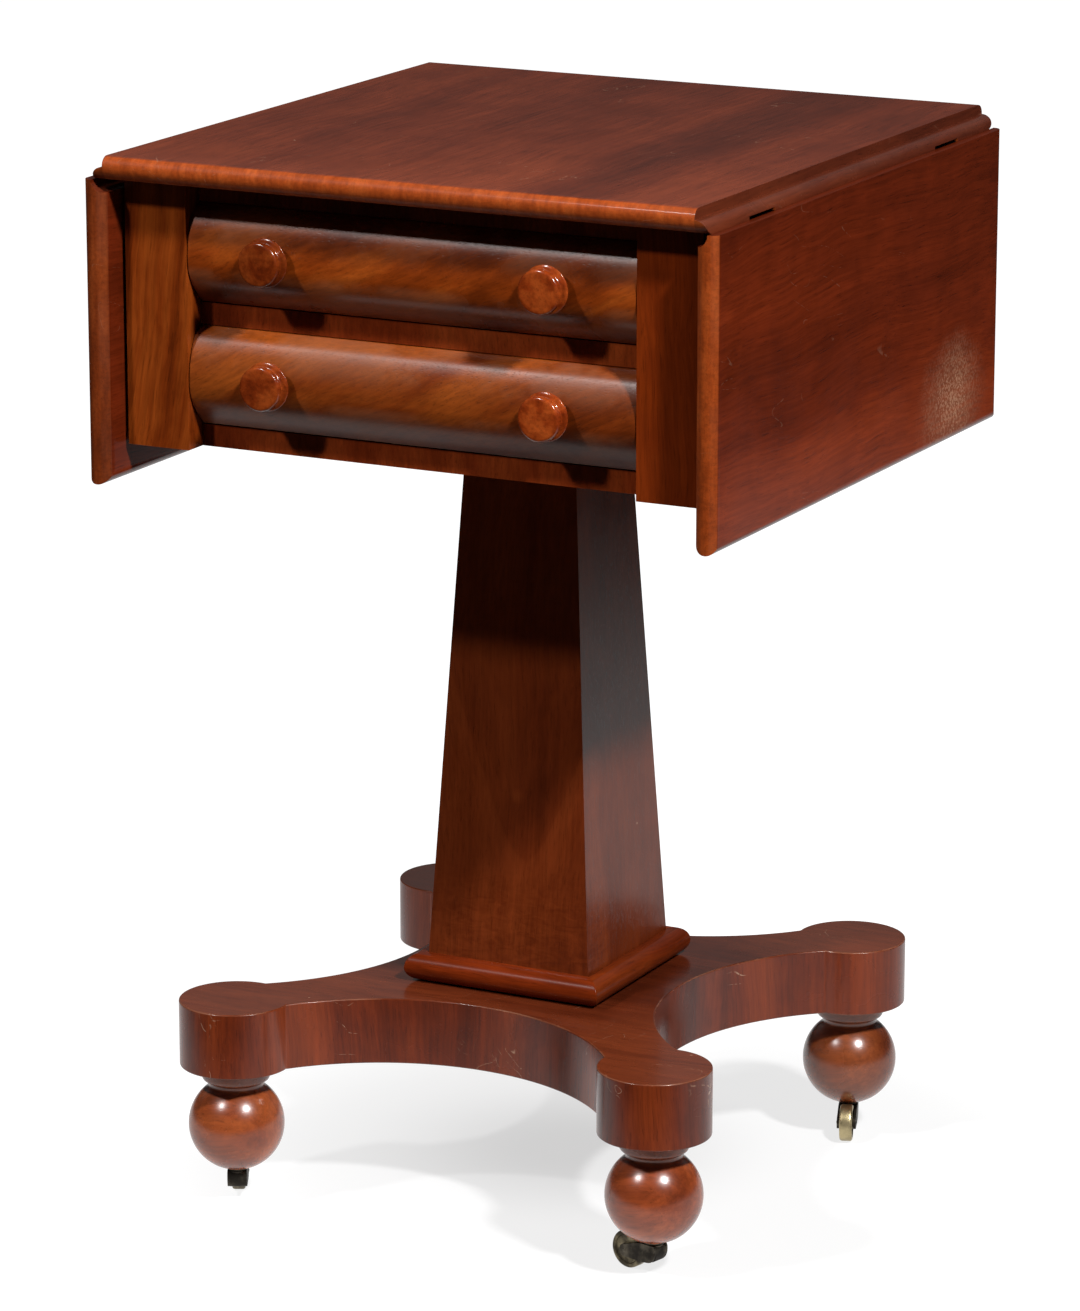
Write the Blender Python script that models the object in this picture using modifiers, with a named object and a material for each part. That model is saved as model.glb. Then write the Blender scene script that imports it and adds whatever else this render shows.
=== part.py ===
"""Drop-leaf work table.

A square top with two hanging leaves on rule joints stands over a case of two
drawers, carried by a tapered square column on a four-lobed platform with ball
feet and swivelling casters.

Frame: origin on the floor under the middle of the top, +Z up, front towards -Y.
"""
import math

import bmesh
import bpy
from mathutils import Matrix, Vector

for old in list(bpy.data.objects):
    bpy.data.objects.remove(old, do_unlink=True)

# Driving dimensions, in metres
HEIGHT = 0.7392             # floor to the upper face of the top
TOP_WIDTH = 0.4326          # upper face of the top, joint line to joint line
TOP_DEPTH = 0.466           # front edge to back edge of the top and the leaves
BOARD = 0.0165              # thickness of the top and the leaves
LEAF_WIDTH = 0.2068         # hinge axis to the free edge of a leaf
OVERHANG = 0.0218           # top beyond the case, front and back
SIDE_SETBACK = 0.0039       # joint line to the outer face of the case side

CASE_HEIGHT = 0.1808        # rails and drawers, underside of the top downwards
STILE_WIDTH = 0.0466
STILE_DEPTH = 0.034
RAIL_HEIGHT = 0.0150
RAIL_DEPTH = 0.040
RAIL_SETBACK = 0.0182       # face of the stiles to the face of the rails
SIDE_THICKNESS = 0.018
BACK_THICKNESS = 0.012

DRAWER_FRONT = 0.016        # drawer front behind the rail face
CREST_SETBACK = 0.0004      # crest of the rounded drawer front behind the stiles
DRAWER_SIDE = 0.008
DRAWER_BOTTOM = 0.005
DRAWER_TRAVEL = 0.280

KNOB_RADIUS = 0.0165
KNOB_RAISE = 0.0014         # knob centre above the middle of its drawer
KNOB_STAND = 0.0169         # face of the knob in front of the crest

PEDESTAL_FORWARD = 0.008    # column centre in front of the middle of the top
COLUMN_TOP = 0.0824         # width of the square column under the case
COLUMN_FOOT = 0.1260        # width of the square column at the platform
MOULDING_WIDTH = 0.1502
MOULDING_HEIGHT = 0.0196

PLATFORM = 0.0468           # thickness of the platform
LOBE_SPREAD = 0.161         # lobe centre from the column centre, both ways
LOBE_RADIUS = 0.0388
HOLLOW = 0.1005             # column centre to the deepest point of the hollow side

BALL_RADIUS = 0.0333
BALL_FLAT = 0.0105          # radius of the flat under the ball
COLLAR_HEIGHT = 0.0169      # ball to platform
WHEEL_RADIUS = 0.0132
WHEEL_WIDTH = 0.009

HINGE_WIDTH = 0.038
HINGE_LEAF = 0.044          # hinge axis to the end of the long flap
HINGE_TOP = 0.026           # hinge axis to the end of the short flap
PLATE = 0.0016
KNUCKLE = 0.0024

# Clearances
GAP = 0.0003                # between glued or seated pieces
JOINT_GAP = 0.0004          # round the rule joint
SLIDE_GAP = 0.0006          # round a drawer front
RUN_GAP = 0.00015           # between a pin and its bore
DEEP = 0.002                # cutters run past the face they open

# Sizes that follow from the ones above
NOSE_UPPER = BOARD * 0.42
NOSE_LOWER = BOARD * 0.55
FILLET = BOARD * 0.436      # square step of the rule joint
OVOLO = BOARD * 0.521       # quarter round under the step
UNDER = HEIGHT - BOARD
AXIS_X = TOP_WIDTH / 2
AXIS_Z = HEIGHT - FILLET - OVOLO
LEAF_OUT = FILLET + OVOLO
LEAF_IN = LEAF_OUT - BOARD

CASE_X = AXIS_X - SIDE_SETBACK
CASE_Y = TOP_DEPTH / 2 - OVERHANG
CASE_TOP = UNDER - GAP
CASE_FOOT = CASE_TOP - CASE_HEIGHT
OPENING = (CASE_HEIGHT - 3 * RAIL_HEIGHT) / 2
RAIL_Z = [CASE_FOOT + i * (RAIL_HEIGHT + OPENING) for i in range(3)]
RAIL_Y = -CASE_Y + RAIL_SETBACK
BEHIND_RAIL = RAIL_Y + RAIL_DEPTH
BEHIND_STILE = -CASE_Y + STILE_DEPTH
STILE_X = CASE_X - STILE_WIDTH
SIDE_X = CASE_X - SIDE_THICKNESS
BACK_Y = CASE_Y - BACK_THICKNESS
CREST_Y = -CASE_Y + CREST_SETBACK
TENON = STILE_WIDTH * 0.32
KNOB_SPREAD = STILE_X * 0.621         # knob centre from the middle of the drawer
HINGE_SPREAD = TOP_DEPTH * 0.322      # hinge from the middle, front and back

TRAIL = WHEEL_RADIUS * 1.54
CASTER = WHEEL_RADIUS * 1.867
BALL_Z = CASTER + math.sqrt(BALL_RADIUS ** 2 - BALL_FLAT ** 2)
NECK = BALL_RADIUS * 0.603
COLLAR = BALL_RADIUS * 0.712
NECK_Z = BALL_Z + math.sqrt(BALL_RADIUS ** 2 - NECK ** 2)
PLATFORM_FOOT = NECK_Z + COLLAR_HEIGHT
PLATFORM_TOP = PLATFORM_FOOT + PLATFORM
COLUMN_FOOT_Z = PLATFORM_TOP + GAP
COLUMN_TOP_Z = CASE_FOOT - GAP
COLUMN_Y = -PEDESTAL_FORWARD
DOWEL = COLLAR * 0.456

TABLE = bpy.data.collections.new("drop_leaf_work_table")
CUTTERS = bpy.data.collections.new("cutters")
bpy.context.scene.collection.children.link(TABLE)
bpy.context.scene.collection.children.link(CUTTERS)


def material(name, colour, roughness, metallic=0.0):
    mat = bpy.data.materials.new(name)
    mat.use_nodes = True
    shader = mat.node_tree.nodes["Principled BSDF"]
    shader.inputs["Base Color"].default_value = (*colour, 1.0)
    shader.inputs["Roughness"].default_value = roughness
    shader.inputs["Metallic"].default_value = metallic
    mat.diffuse_color = (*colour, 1.0)
    return mat


TOP_WOOD = material("top_mahogany", (0.115, 0.036, 0.020), 0.28)
CASE_WOOD = material("case_mahogany", (0.150, 0.050, 0.022), 0.32)
FRONT_WOOD = material("figured_mahogany", (0.225, 0.078, 0.024), 0.28)
BASE_WOOD = material("base_mahogany", (0.130, 0.042, 0.022), 0.34)
LINING = material("drawer_lining", (0.380, 0.235, 0.120), 0.60)
BRASS = material("caster_brass", (0.500, 0.330, 0.110), 0.38, 1.0)
BRONZE = material("hinge_bronze", (0.200, 0.150, 0.085), 0.45, 1.0)


def place(ob, collection, mat=None):
    collection.objects.link(ob)
    if mat:
        ob.data.materials.append(mat)
    if collection is CUTTERS:
        ob.hide_render = True
        ob.display_type = "WIRE"
    return ob


def from_bmesh(name, bm, collection, mat=None):
    mesh = bpy.data.meshes.new(name)
    bm.to_mesh(mesh)
    bm.free()
    return place(bpy.data.objects.new(name, mesh), collection, mat)


def block(name, low, high, collection, mat=None):
    """Rectangular block between two opposite corners."""
    bm = bmesh.new()
    bmesh.ops.create_cube(bm, size=1.0)
    size = [b - a for a, b in zip(low, high)]
    bmesh.ops.scale(bm, vec=size, verts=bm.verts)
    ob = from_bmesh(name, bm, collection, mat)
    ob.location = [(a + b) / 2 for a, b in zip(low, high)]
    return ob


def rod(name, start, end, radius, sides, collection, mat=None):
    """Round rod between two points."""
    start, end = Vector(start), Vector(end)
    bm = bmesh.new()
    bmesh.ops.create_cone(bm, cap_ends=True, segments=sides, radius1=radius,
                          radius2=radius, depth=(end - start).length)
    ob = from_bmesh(name, bm, collection, mat)
    ob.location = (start + end) / 2
    ob.rotation_euler = Vector((0, 0, 1)).rotation_difference(end - start).to_euler()
    return ob


TURNS = {"X": (math.pi / 2, 0, math.pi / 2), "Y": (math.pi / 2, 0, 0), "Z": (0, 0, 0)}


def outline(name, points, axis, low, high, collection, mat=None):
    """Flat outline, (y, z), (x, z) or (x, y), given thickness along X, Y or Z."""
    curve = bpy.data.curves.new(name, "CURVE")
    curve.dimensions = "2D"
    curve.fill_mode = "BOTH"
    curve.extrude = (high - low) / 2
    spline = curve.splines.new("POLY")
    spline.points.add(len(points) - 1)
    for point, (u, v) in zip(spline.points, points):
        point.co = (u, v, 0, 1)
    spline.use_cyclic_u = True
    flat = bpy.data.objects.new(name + "_outline", curve)
    bpy.context.scene.collection.objects.link(flat)
    bpy.context.view_layer.update()
    graph = bpy.context.evaluated_depsgraph_get()
    mesh = bpy.data.meshes.new_from_object(flat.evaluated_get(graph), depsgraph=graph)
    mesh.name = name
    bpy.data.objects.remove(flat, do_unlink=True)
    bm = bmesh.new()
    bm.from_mesh(mesh)
    bmesh.ops.remove_doubles(bm, verts=bm.verts, dist=0.000005)
    bmesh.ops.recalc_face_normals(bm, faces=bm.faces)
    bm.to_mesh(mesh)
    bm.free()
    ob = place(bpy.data.objects.new(name, mesh), collection, mat)
    ob.rotation_euler = TURNS[axis]
    ob.location["XYZ".index(axis)] = (low + high) / 2
    return ob


def turned(name, profile, steps, collection, mat=None, closed=False):
    """Profile of (radius, height), listed down its outer side, turned about Z."""
    bm = bmesh.new()
    verts = [bm.verts.new((r, 0, z)) for r, z in profile]
    for a, b in zip(verts, verts[1:]):
        bm.edges.new((a, b))
    if closed:
        bm.edges.new((verts[-1], verts[0]))
    ob = from_bmesh(name, bm, collection, mat)
    screw = ob.modifiers.new("turning", "SCREW")
    screw.steps = steps
    screw.render_steps = steps
    screw.use_merge_vertices = True
    screw.merge_threshold = 0.00001
    return ob


def combine(ob, tool, operation):
    mod = ob.modifiers.new(operation.lower() + "_" + tool.name, "BOOLEAN")
    mod.operation = operation
    mod.solver = "EXACT"
    mod.object = tool


def settle(ob, tools=()):
    """Keep the finished shape as a plain mesh, in the object's own frame."""
    bpy.context.view_layer.update()
    graph = bpy.context.evaluated_depsgraph_get()
    mesh = bpy.data.meshes.new_from_object(ob.evaluated_get(graph), depsgraph=graph)
    mesh.transform(ob.matrix_world)
    bpy.data.objects.remove(ob, do_unlink=True)
    for tool in tools:
        bpy.data.objects.remove(tool, do_unlink=True)
    return mesh


def smooth(mesh, degrees=32):
    mesh.shade_smooth()
    mesh.set_sharp_from_angle(angle=math.radians(degrees))
    return mesh


def copy_of(name, mesh, location, turn=(0, 0, 0), parent=None):
    ob = bpy.data.objects.new(name, mesh)
    TABLE.objects.link(ob)
    ob.location = location
    ob.rotation_euler = turn
    ob.parent = parent
    return ob


def pivot(name, location, turn=(0, 0, 0)):
    empty = bpy.data.objects.new(name, None)
    TABLE.objects.link(empty)
    empty.location = location
    empty.rotation_euler = turn
    empty.empty_display_size = 0.03
    return empty


def arc(centre, radius, start, end, steps):
    """Points on a circle from one angle to another, in degrees, both ends included."""
    points = []
    for i in range(steps + 1):
        t = math.radians(start + (end - start) * i / steps)
        points.append((centre[0] + radius * math.cos(t), centre[1] + radius * math.sin(t)))
    return points


def nose_waste(edge, out, upper, lower):
    """What a moulding plane takes off a square edge to leave its rounded nose."""
    face = (edge - out * NOSE_UPPER, upper - NOSE_UPPER)
    back = (edge - out * NOSE_LOWER, lower + NOSE_LOWER)
    points = [(edge + out * DEEP, upper + DEEP), (face[0], upper + DEEP)]
    for u, v in arc((0, 0), NOSE_UPPER, 90, 0, 4):
        points.append((face[0] + out * u, face[1] + v))
    for u, v in arc((0, 0), NOSE_LOWER, 0, -90, 5):
        points.append((back[0] + out * u, back[1] + v))
    points.append((back[0], lower - DEEP))
    points.append((edge + out * DEEP, lower - DEEP))
    return points


# Top with an ovolo and fillet along both sides
def top_board():
    side = [(AXIS_X, HEIGHT)] + arc((AXIS_X, AXIS_Z), OVOLO, 90, 0, 6)
    side.append((AXIS_X + OVOLO, UNDER))
    section = side + [(-x, z) for x, z in reversed(side)]
    top = outline("table_top", section, "Y", -TOP_DEPTH / 2, TOP_DEPTH / 2, TABLE, TOP_WOOD)
    reach = AXIS_X + OVOLO + DEEP
    for name, out in (("front", -1), ("back", 1)):
        waste = nose_waste(out * TOP_DEPTH / 2, out, HEIGHT, UNDER)
        cutter = outline("top_nose_" + name, waste, "X", -reach, reach, CUTTERS)
        combine(top, cutter, "DIFFERENCE")
    room = KNUCKLE + SLIDE_GAP
    depth = PLATE + SLIDE_GAP
    rise = UNDER + depth - AXIS_Z
    half = math.degrees(math.asin(rise / room))
    for sx, hand in ((-1, "left"), (1, "right")):
        for sy, end in ((-1, "front"), (1, "back")):
            recess = [(AXIS_X - HINGE_TOP - SLIDE_GAP, UNDER - DEEP),
                      (AXIS_X - HINGE_TOP - SLIDE_GAP, UNDER + depth)]
            recess += arc((AXIS_X, AXIS_Z), room, 180 - half, half, 6)
            recess += [(AXIS_X + OVOLO + DEEP, UNDER + depth),
                       (AXIS_X + OVOLO + DEEP, UNDER - DEEP)]
            recess = [(sx * x, z) for x, z in recess]
            y = sy * HINGE_SPREAD
            wide = HINGE_WIDTH / 2 + SLIDE_GAP
            cutter = outline("hinge_recess_" + hand + "_" + end, recess, "Y", y - wide, y + wide, CUTTERS)
            combine(top, cutter, "DIFFERENCE")


# Leaf with the matching cove, hanging, in the frame of its hinge axis
def leaf_mesh():
    cove = OVOLO + JOINT_GAP
    end = -math.degrees(math.asin(JOINT_GAP / cove))
    section = [(LEAF_OUT, -JOINT_GAP)]
    section += arc((LEAF_OUT - NOSE_UPPER, NOSE_UPPER - LEAF_WIDTH), NOSE_UPPER, 0, -90, 4)
    section += arc((LEAF_IN + NOSE_LOWER, NOSE_LOWER - LEAF_WIDTH), NOSE_LOWER, -90, -180, 5)
    section += [(LEAF_IN, -cove)]
    section += arc((0, 0), cove, -90, end, 6)
    leaf = outline("leaf", section, "Y", -TOP_DEPTH / 2, TOP_DEPTH / 2, CUTTERS, TOP_WOOD)
    tools = []
    for out in (-1, 1):
        waste = [(x, y) for y, x in nose_waste(out * TOP_DEPTH / 2, out, LEAF_OUT, LEAF_IN)]
        tools.append(outline("leaf_nose", waste, "Z", -LEAF_WIDTH - DEEP, DEEP, CUTTERS))
        wide = HINGE_WIDTH / 2 + SLIDE_GAP
        y = out * HINGE_SPREAD
        tools.append(block("leaf_recess", (LEAF_IN - DEEP, y - wide, -HINGE_LEAF - SLIDE_GAP),
                           (LEAF_IN + PLATE + GAP, y + wide, -JOINT_GAP * 2), CUTTERS))
    for tool in tools:
        combine(leaf, tool, "DIFFERENCE")
    return settle(leaf, tools)


# Back-flap hinge, in the frame of its axis: +X out of the case, Y along the pin
def hinge_meshes():
    third = HINGE_WIDTH / 3
    half = HINGE_WIDTH / 2
    low = UNDER - AXIS_Z + 0.00005
    pin = KNUCKLE * 0.45
    short = block("short_flap", (-HINGE_TOP, -half, low), (0, half, low + PLATE), CUTTERS, BRONZE)
    barrel = rod("barrel", (0, -half + 0.0001, 0), (0, half - 0.0001, 0), KNUCKLE, 16, CUTTERS)
    middle = block("middle", (-KNUCKLE - SLIDE_GAP, -third / 2 - GAP, -KNUCKLE * 2),
                   (KNUCKLE * 2, third / 2 + GAP, KNUCKLE * 2), CUTTERS)
    core = rod("pin", (0, -half + 0.001, 0), (0, half - 0.001, 0), pin, 12, CUTTERS)
    combine(short, barrel, "UNION")
    combine(short, middle, "DIFFERENCE")
    combine(short, core, "UNION")
    short_mesh = settle(short, [barrel, middle, core])

    long = block("long_flap", (LEAF_IN, -half, -HINGE_LEAF), (LEAF_IN + PLATE, half, 0), CUTTERS, BRONZE)
    tools = []
    for out in (-1, 1):
        edges = sorted((out * third / 2, out * (half + DEEP)))
        tools.append(block("clear", (-KNUCKLE * 2, edges[0], -KNUCKLE - SLIDE_GAP),
                           (KNUCKLE * 2, edges[1], KNUCKLE * 2), CUTTERS))
    knuckle = rod("knuckle", (0, -third / 2, 0), (0, third / 2, 0), KNUCKLE, 16, CUTTERS)
    bore = rod("bore", (0, -third, 0), (0, third, 0), pin + RUN_GAP, 12, CUTTERS)
    for tool in tools:
        combine(long, tool, "DIFFERENCE")
    combine(long, knuckle, "UNION")
    combine(long, bore, "DIFFERENCE")
    long_mesh = settle(long, tools + [knuckle, bore])
    return short_mesh, long_mesh


def joined_top():
    top_board()
    leaf = leaf_mesh()
    short, long = hinge_meshes()
    for sx, hand, turn in ((-1, "left", math.pi), (1, "right", 0)):
        axis = pivot("pivot_leaf_" + hand, (sx * AXIS_X, 0, AXIS_Z), (0, 0, turn))
        copy_of("leaf_" + hand, leaf, (0, 0, 0), parent=axis)
        for sy, end in ((-1, "front"), (1, "back")):
            spot = (0, sx * sy * HINGE_SPREAD, 0)
            copy_of("hinge_%s_%s_leaf_flap" % (hand, end), long, spot, parent=axis)
            spot = (sx * AXIS_X, sy * HINGE_SPREAD, AXIS_Z)
            copy_of("hinge_%s_%s_top_flap" % (hand, end), short, spot, (0, 0, turn))


# Case of stiles, rails, sides, back and bottom
def case():
    tenon_y = (RAIL_Y + RAIL_SETBACK * 0.14, RAIL_Y + RAIL_SETBACK * 0.69)
    inset = RAIL_HEIGHT * 0.17
    for name, z in zip(("rail_bottom", "rail_middle", "rail_top"), RAIL_Z):
        high = z + RAIL_HEIGHT
        rail = block(name, (-STILE_X + GAP, RAIL_Y, z), (STILE_X - GAP, BEHIND_RAIL, high), TABLE, CASE_WOOD)
        reach = STILE_X + TENON
        tenon = block(name + "_tenon", (-reach, tenon_y[0], z + inset),
                      (reach, tenon_y[1], high - inset), CUTTERS)
        combine(rail, tenon, "UNION")
    for sx, hand in ((-1, "left"), (1, "right")):
        xs = sorted((sx * STILE_X, sx * CASE_X))
        stile = block("stile_" + hand, (xs[0], -CASE_Y, CASE_FOOT), (xs[1], BEHIND_STILE, CASE_TOP),
                      TABLE, CASE_WOOD)
        for i, z in enumerate(RAIL_Z):
            xs = sorted((sx * (STILE_X - DEEP), sx * (STILE_X + TENON + GAP)))
            mortise = block("mortise_%s_%d" % (hand, i),
                            (xs[0], tenon_y[0] - GAP, z + inset - GAP),
                            (xs[1], tenon_y[1] + GAP, z + RAIL_HEIGHT - inset + GAP), CUTTERS)
            combine(stile, mortise, "DIFFERENCE")
        side_and_support(sx, hand)
        runners(sx, hand)
    inner = SIDE_X - GAP
    block("case_back", (-inner, BACK_Y, CASE_FOOT), (inner, CASE_Y, CASE_TOP), TABLE, CASE_WOOD)
    floor = block("case_bottom", (-inner, BEHIND_RAIL + GAP, CASE_FOOT),
                  (inner, BACK_Y - GAP, RAIL_Z[0] + RAIL_HEIGHT), TABLE, CASE_WOOD)
    half = COLUMN_TOP * 0.36 + GAP
    socket = block("column_socket", (-half, COLUMN_Y - half, CASE_FOOT - DEEP),
                   (half, COLUMN_Y + half, CASE_FOOT + RAIL_HEIGHT * 0.83 + GAP), CUTTERS)
    combine(floor, socket, "DIFFERENCE")


# Side board with a housing for the swing-out bracket that holds up a leaf
def side_and_support(sx, hand):
    length = TOP_DEPTH * 0.32
    height = CASE_HEIGHT * 0.20
    thick = SIDE_THICKNESS * 0.72
    near, far = -length * 0.45, length * 0.55
    foot = CASE_TOP - height
    xs = sorted((sx * SIDE_X, sx * CASE_X))
    side = block("case_side_" + hand, (xs[0], BEHIND_STILE + GAP, CASE_FOOT),
                 (xs[1], CASE_Y, CASE_TOP), TABLE, CASE_WOOD)
    xs = sorted((sx * (CASE_X - thick - GAP), sx * (CASE_X + DEEP)))
    housing = block("housing_" + hand, (xs[0], near - GAP * 2, foot - GAP),
                    (xs[1], far + GAP * 2, CASE_TOP + DEEP), CUTTERS)
    combine(side, housing, "DIFFERENCE")
    pin = thick * 0.2
    spot = (sx * (CASE_X - thick / 2), far - thick)
    hole = rod("pin_hole_" + hand, (*spot, foot - height * 0.4), (*spot, foot + DEEP), pin + GAP, 12, CUTTERS)
    combine(side, hole, "DIFFERENCE")
    shape = [(far, CASE_TOP - GAP), (far, foot), (near + height * 0.9, foot),
             (near + height * 0.55, foot + height * 0.18), (near + height * 0.35, foot + height * 0.5),
             (near, foot + height * 0.62), (near, CASE_TOP - GAP)]
    xs = sorted((sx * (CASE_X - thick), sx * CASE_X))
    arm = outline("leaf_support_" + hand, shape, "X", xs[0], xs[1], TABLE, CASE_WOOD)
    peg = rod("support_pin_" + hand, (*spot, foot - height * 0.35), (*spot, foot + height * 0.5), pin, 12, CUTTERS)
    combine(arm, peg, "UNION")


# Runner under the upper drawer with its guide, and the guide of the lower drawer
def runners(sx, hand):
    outer = SIDE_X - GAP
    inner = STILE_X - DRAWER_SIDE * 2.6
    low = RAIL_Z[1]
    high = low + RAIL_HEIGHT
    guide = OPENING * 0.40
    shape = [(inner, low), (outer, low), (outer, high + guide), (STILE_X, high + guide),
             (STILE_X, high), (inner, high)]
    outline("upper_runner_" + hand, [(sx * x, z) for x, z in shape], "Y",
            BEHIND_RAIL + GAP, BACK_Y - GAP, TABLE, LINING)
    base = RAIL_Z[0] + RAIL_HEIGHT + GAP
    xs = sorted((sx * STILE_X, sx * outer))
    block("lower_guide_" + hand, (xs[0], BEHIND_RAIL + GAP, base), (xs[1], BACK_Y - GAP, base + guide),
          TABLE, LINING)


# Drawer with a full rounded front, built round the middle of its opening's floor
def drawer(level, base):
    name = "drawer_" + level
    axis = pivot("pivot_" + name, (0, RAIL_Y, base))
    half = STILE_X - SLIDE_GAP
    low, high = SLIDE_GAP, OPENING - SLIDE_GAP
    mid, rise = (low + high) / 2, (high - low) / 2
    pull = mid + KNOB_RAISE
    bulge = RAIL_Y - CREST_Y
    section = [(DRAWER_FRONT, low)]
    for i in range(15):
        t = math.radians(-90 + 180 * i / 14)
        swell = math.cos(t) ** 1.1 if abs(t) < 1.57 else 0.0
        section.append((-bulge * swell, mid + rise * math.sin(t)))
    section.append((DRAWER_FRONT, high))
    front = outline(name + "_front", section, "X", -half, half, TABLE, FRONT_WOOD)
    front.location.y, front.location.z = RAIL_Y, base
    edge = DRAWER_SIDE * 0.75
    groove = edge + DRAWER_BOTTOM + GAP
    tongue = DRAWER_SIDE * 0.48
    wide = half - GAP * 2
    slot = block(name + "_slot", (-wide + DRAWER_SIDE * 0.5, RAIL_Y + DRAWER_FRONT - tongue - GAP, base + edge),
                 (wide - DRAWER_SIDE * 0.5, RAIL_Y + DRAWER_FRONT + DEEP, base + groove + GAP), CUTTERS)
    combine(front, slot, "DIFFERENCE")
    for sx in (-1, 1):
        hole = rod(name + "_hole_%d" % sx, (sx * KNOB_SPREAD, CREST_Y - DEEP, base + pull),
                   (sx * KNOB_SPREAD, CREST_Y + KNOB_STAND * 0.7 + GAP, base + pull),
                   KNOB_RADIUS * 0.28 + GAP, 14, CUTTERS)
        combine(front, hole, "DIFFERENCE")
    start = RAIL_Y + DRAWER_FRONT + GAP
    end = BACK_Y - 0.001
    tall = OPENING * 0.85
    inside = wide - DRAWER_SIDE
    for sx, hand in ((-1, "left"), (1, "right")):
        shape = [(wide, GAP), (wide, tall), (inside, tall), (inside, groove + GAP),
                 (inside + tongue + GAP, groove + GAP), (inside + tongue + GAP, edge), (inside, edge),
                 (inside, GAP)]
        side = outline(name + "_side_" + hand, [(sx * x, z) for x, z in shape], "Y", start, end, TABLE, LINING)
        side.location.z = base
    block(name + "_back", (-inside + GAP, end - DRAWER_SIDE, base + groove + GAP),
          (inside - GAP, end, base + tall - 0.004), TABLE, LINING)
    block(name + "_bottom", (-inside - tongue, start - tongue, base + edge + GAP),
          (inside + tongue, end - 0.001, base + groove), TABLE, LINING)
    for part in ("_front", "_side_left", "_side_right", "_back", "_bottom"):
        piece = bpy.data.objects[name + part]
        piece.parent = axis
        piece.matrix_parent_inverse = Matrix.Translation(axis.location).inverted()
    return axis, pull


# Turned knob, its face towards +Z and its foot at the crest of a drawer front
def knob_mesh():
    face = KNOB_STAND
    r = KNOB_RADIUS
    profile = [(0, face), (r * 0.45, face - 0.0002), (r * 0.76, face - 0.0009)]
    profile += [(r * 0.875, face - 0.0018), (r * 0.92, face - 0.0030), (r * 0.885, face - 0.0041)]
    profile += [(r * 0.745, face - 0.0070), (r * 0.92, face - 0.0100), (r, face - 0.0114)]
    profile += [(r * 0.95, face - 0.0128), (r * 0.60, face - 0.0142), (r * 0.50, face * 0.08), (r * 0.50, GAP)]
    profile += [(r * 0.28, GAP), (r * 0.28, -face * 0.7), (0, -face * 0.7)]
    return smooth(settle(turned("knob", profile, 16, CUTTERS, FRONT_WOOD)))


def drawers():
    knob = knob_mesh()
    for level, rail in (("lower", 0), ("upper", 1)):
        axis, pull = drawer(level, RAIL_Z[rail] + RAIL_HEIGHT)
        for sx, hand in ((-1, "left"), (1, "right")):
            copy_of("knob_%s_%s" % (level, hand), knob, (sx * KNOB_SPREAD, CREST_Y - RAIL_Y, pull),
                    (math.pi / 2, 0, 0), axis)


# Tapered column with square tenons, and the half-round moulding about its foot
def column():
    length = COLUMN_TOP_Z - COLUMN_FOOT_Z
    bm = bmesh.new()
    bmesh.ops.create_cone(bm, cap_ends=True, segments=4, radius1=COLUMN_FOOT / math.sqrt(2),
                          radius2=COLUMN_TOP / math.sqrt(2), depth=length)
    bmesh.ops.rotate(bm, verts=bm.verts, matrix=Matrix.Rotation(math.pi / 4, 3, "Z"))
    shaft = from_bmesh("column", bm, TABLE, CASE_WOOD)
    shaft.location = (0, COLUMN_Y, (COLUMN_TOP_Z + COLUMN_FOOT_Z) / 2)
    for name, half, low, high in (
            ("top_tenon", COLUMN_TOP * 0.36, COLUMN_TOP_Z - 0.01, CASE_FOOT + RAIL_HEIGHT * 0.83),
            ("foot_tenon", COLUMN_FOOT * 0.30, PLATFORM_TOP - PLATFORM * 0.6, COLUMN_FOOT_Z + 0.01)):
        tenon = block(name, (-half, COLUMN_Y - half, low), (half, COLUMN_Y + half, high), CUTTERS)
        combine(shaft, tenon, "UNION")
    slope = (COLUMN_FOOT - COLUMN_TOP) / 2 / length
    nose = MOULDING_HEIGHT / 2
    middle = COLUMN_FOOT_Z + nose
    inner = COLUMN_FOOT / 2 + GAP
    ring = [(inner - slope * MOULDING_HEIGHT, middle + nose)]
    ring += arc((MOULDING_WIDTH / 2 - nose, middle), nose, 90, -90, 8)
    ring.append((inner, middle - nose))
    ring = [(d * math.sqrt(2), z) for d, z in ring]
    mould = turned("column_moulding", ring, 4, TABLE, FRONT_WOOD, closed=True)
    mould.location = (0, COLUMN_Y, 0)
    mould.rotation_euler = (0, 0, math.pi / 4)


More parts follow.
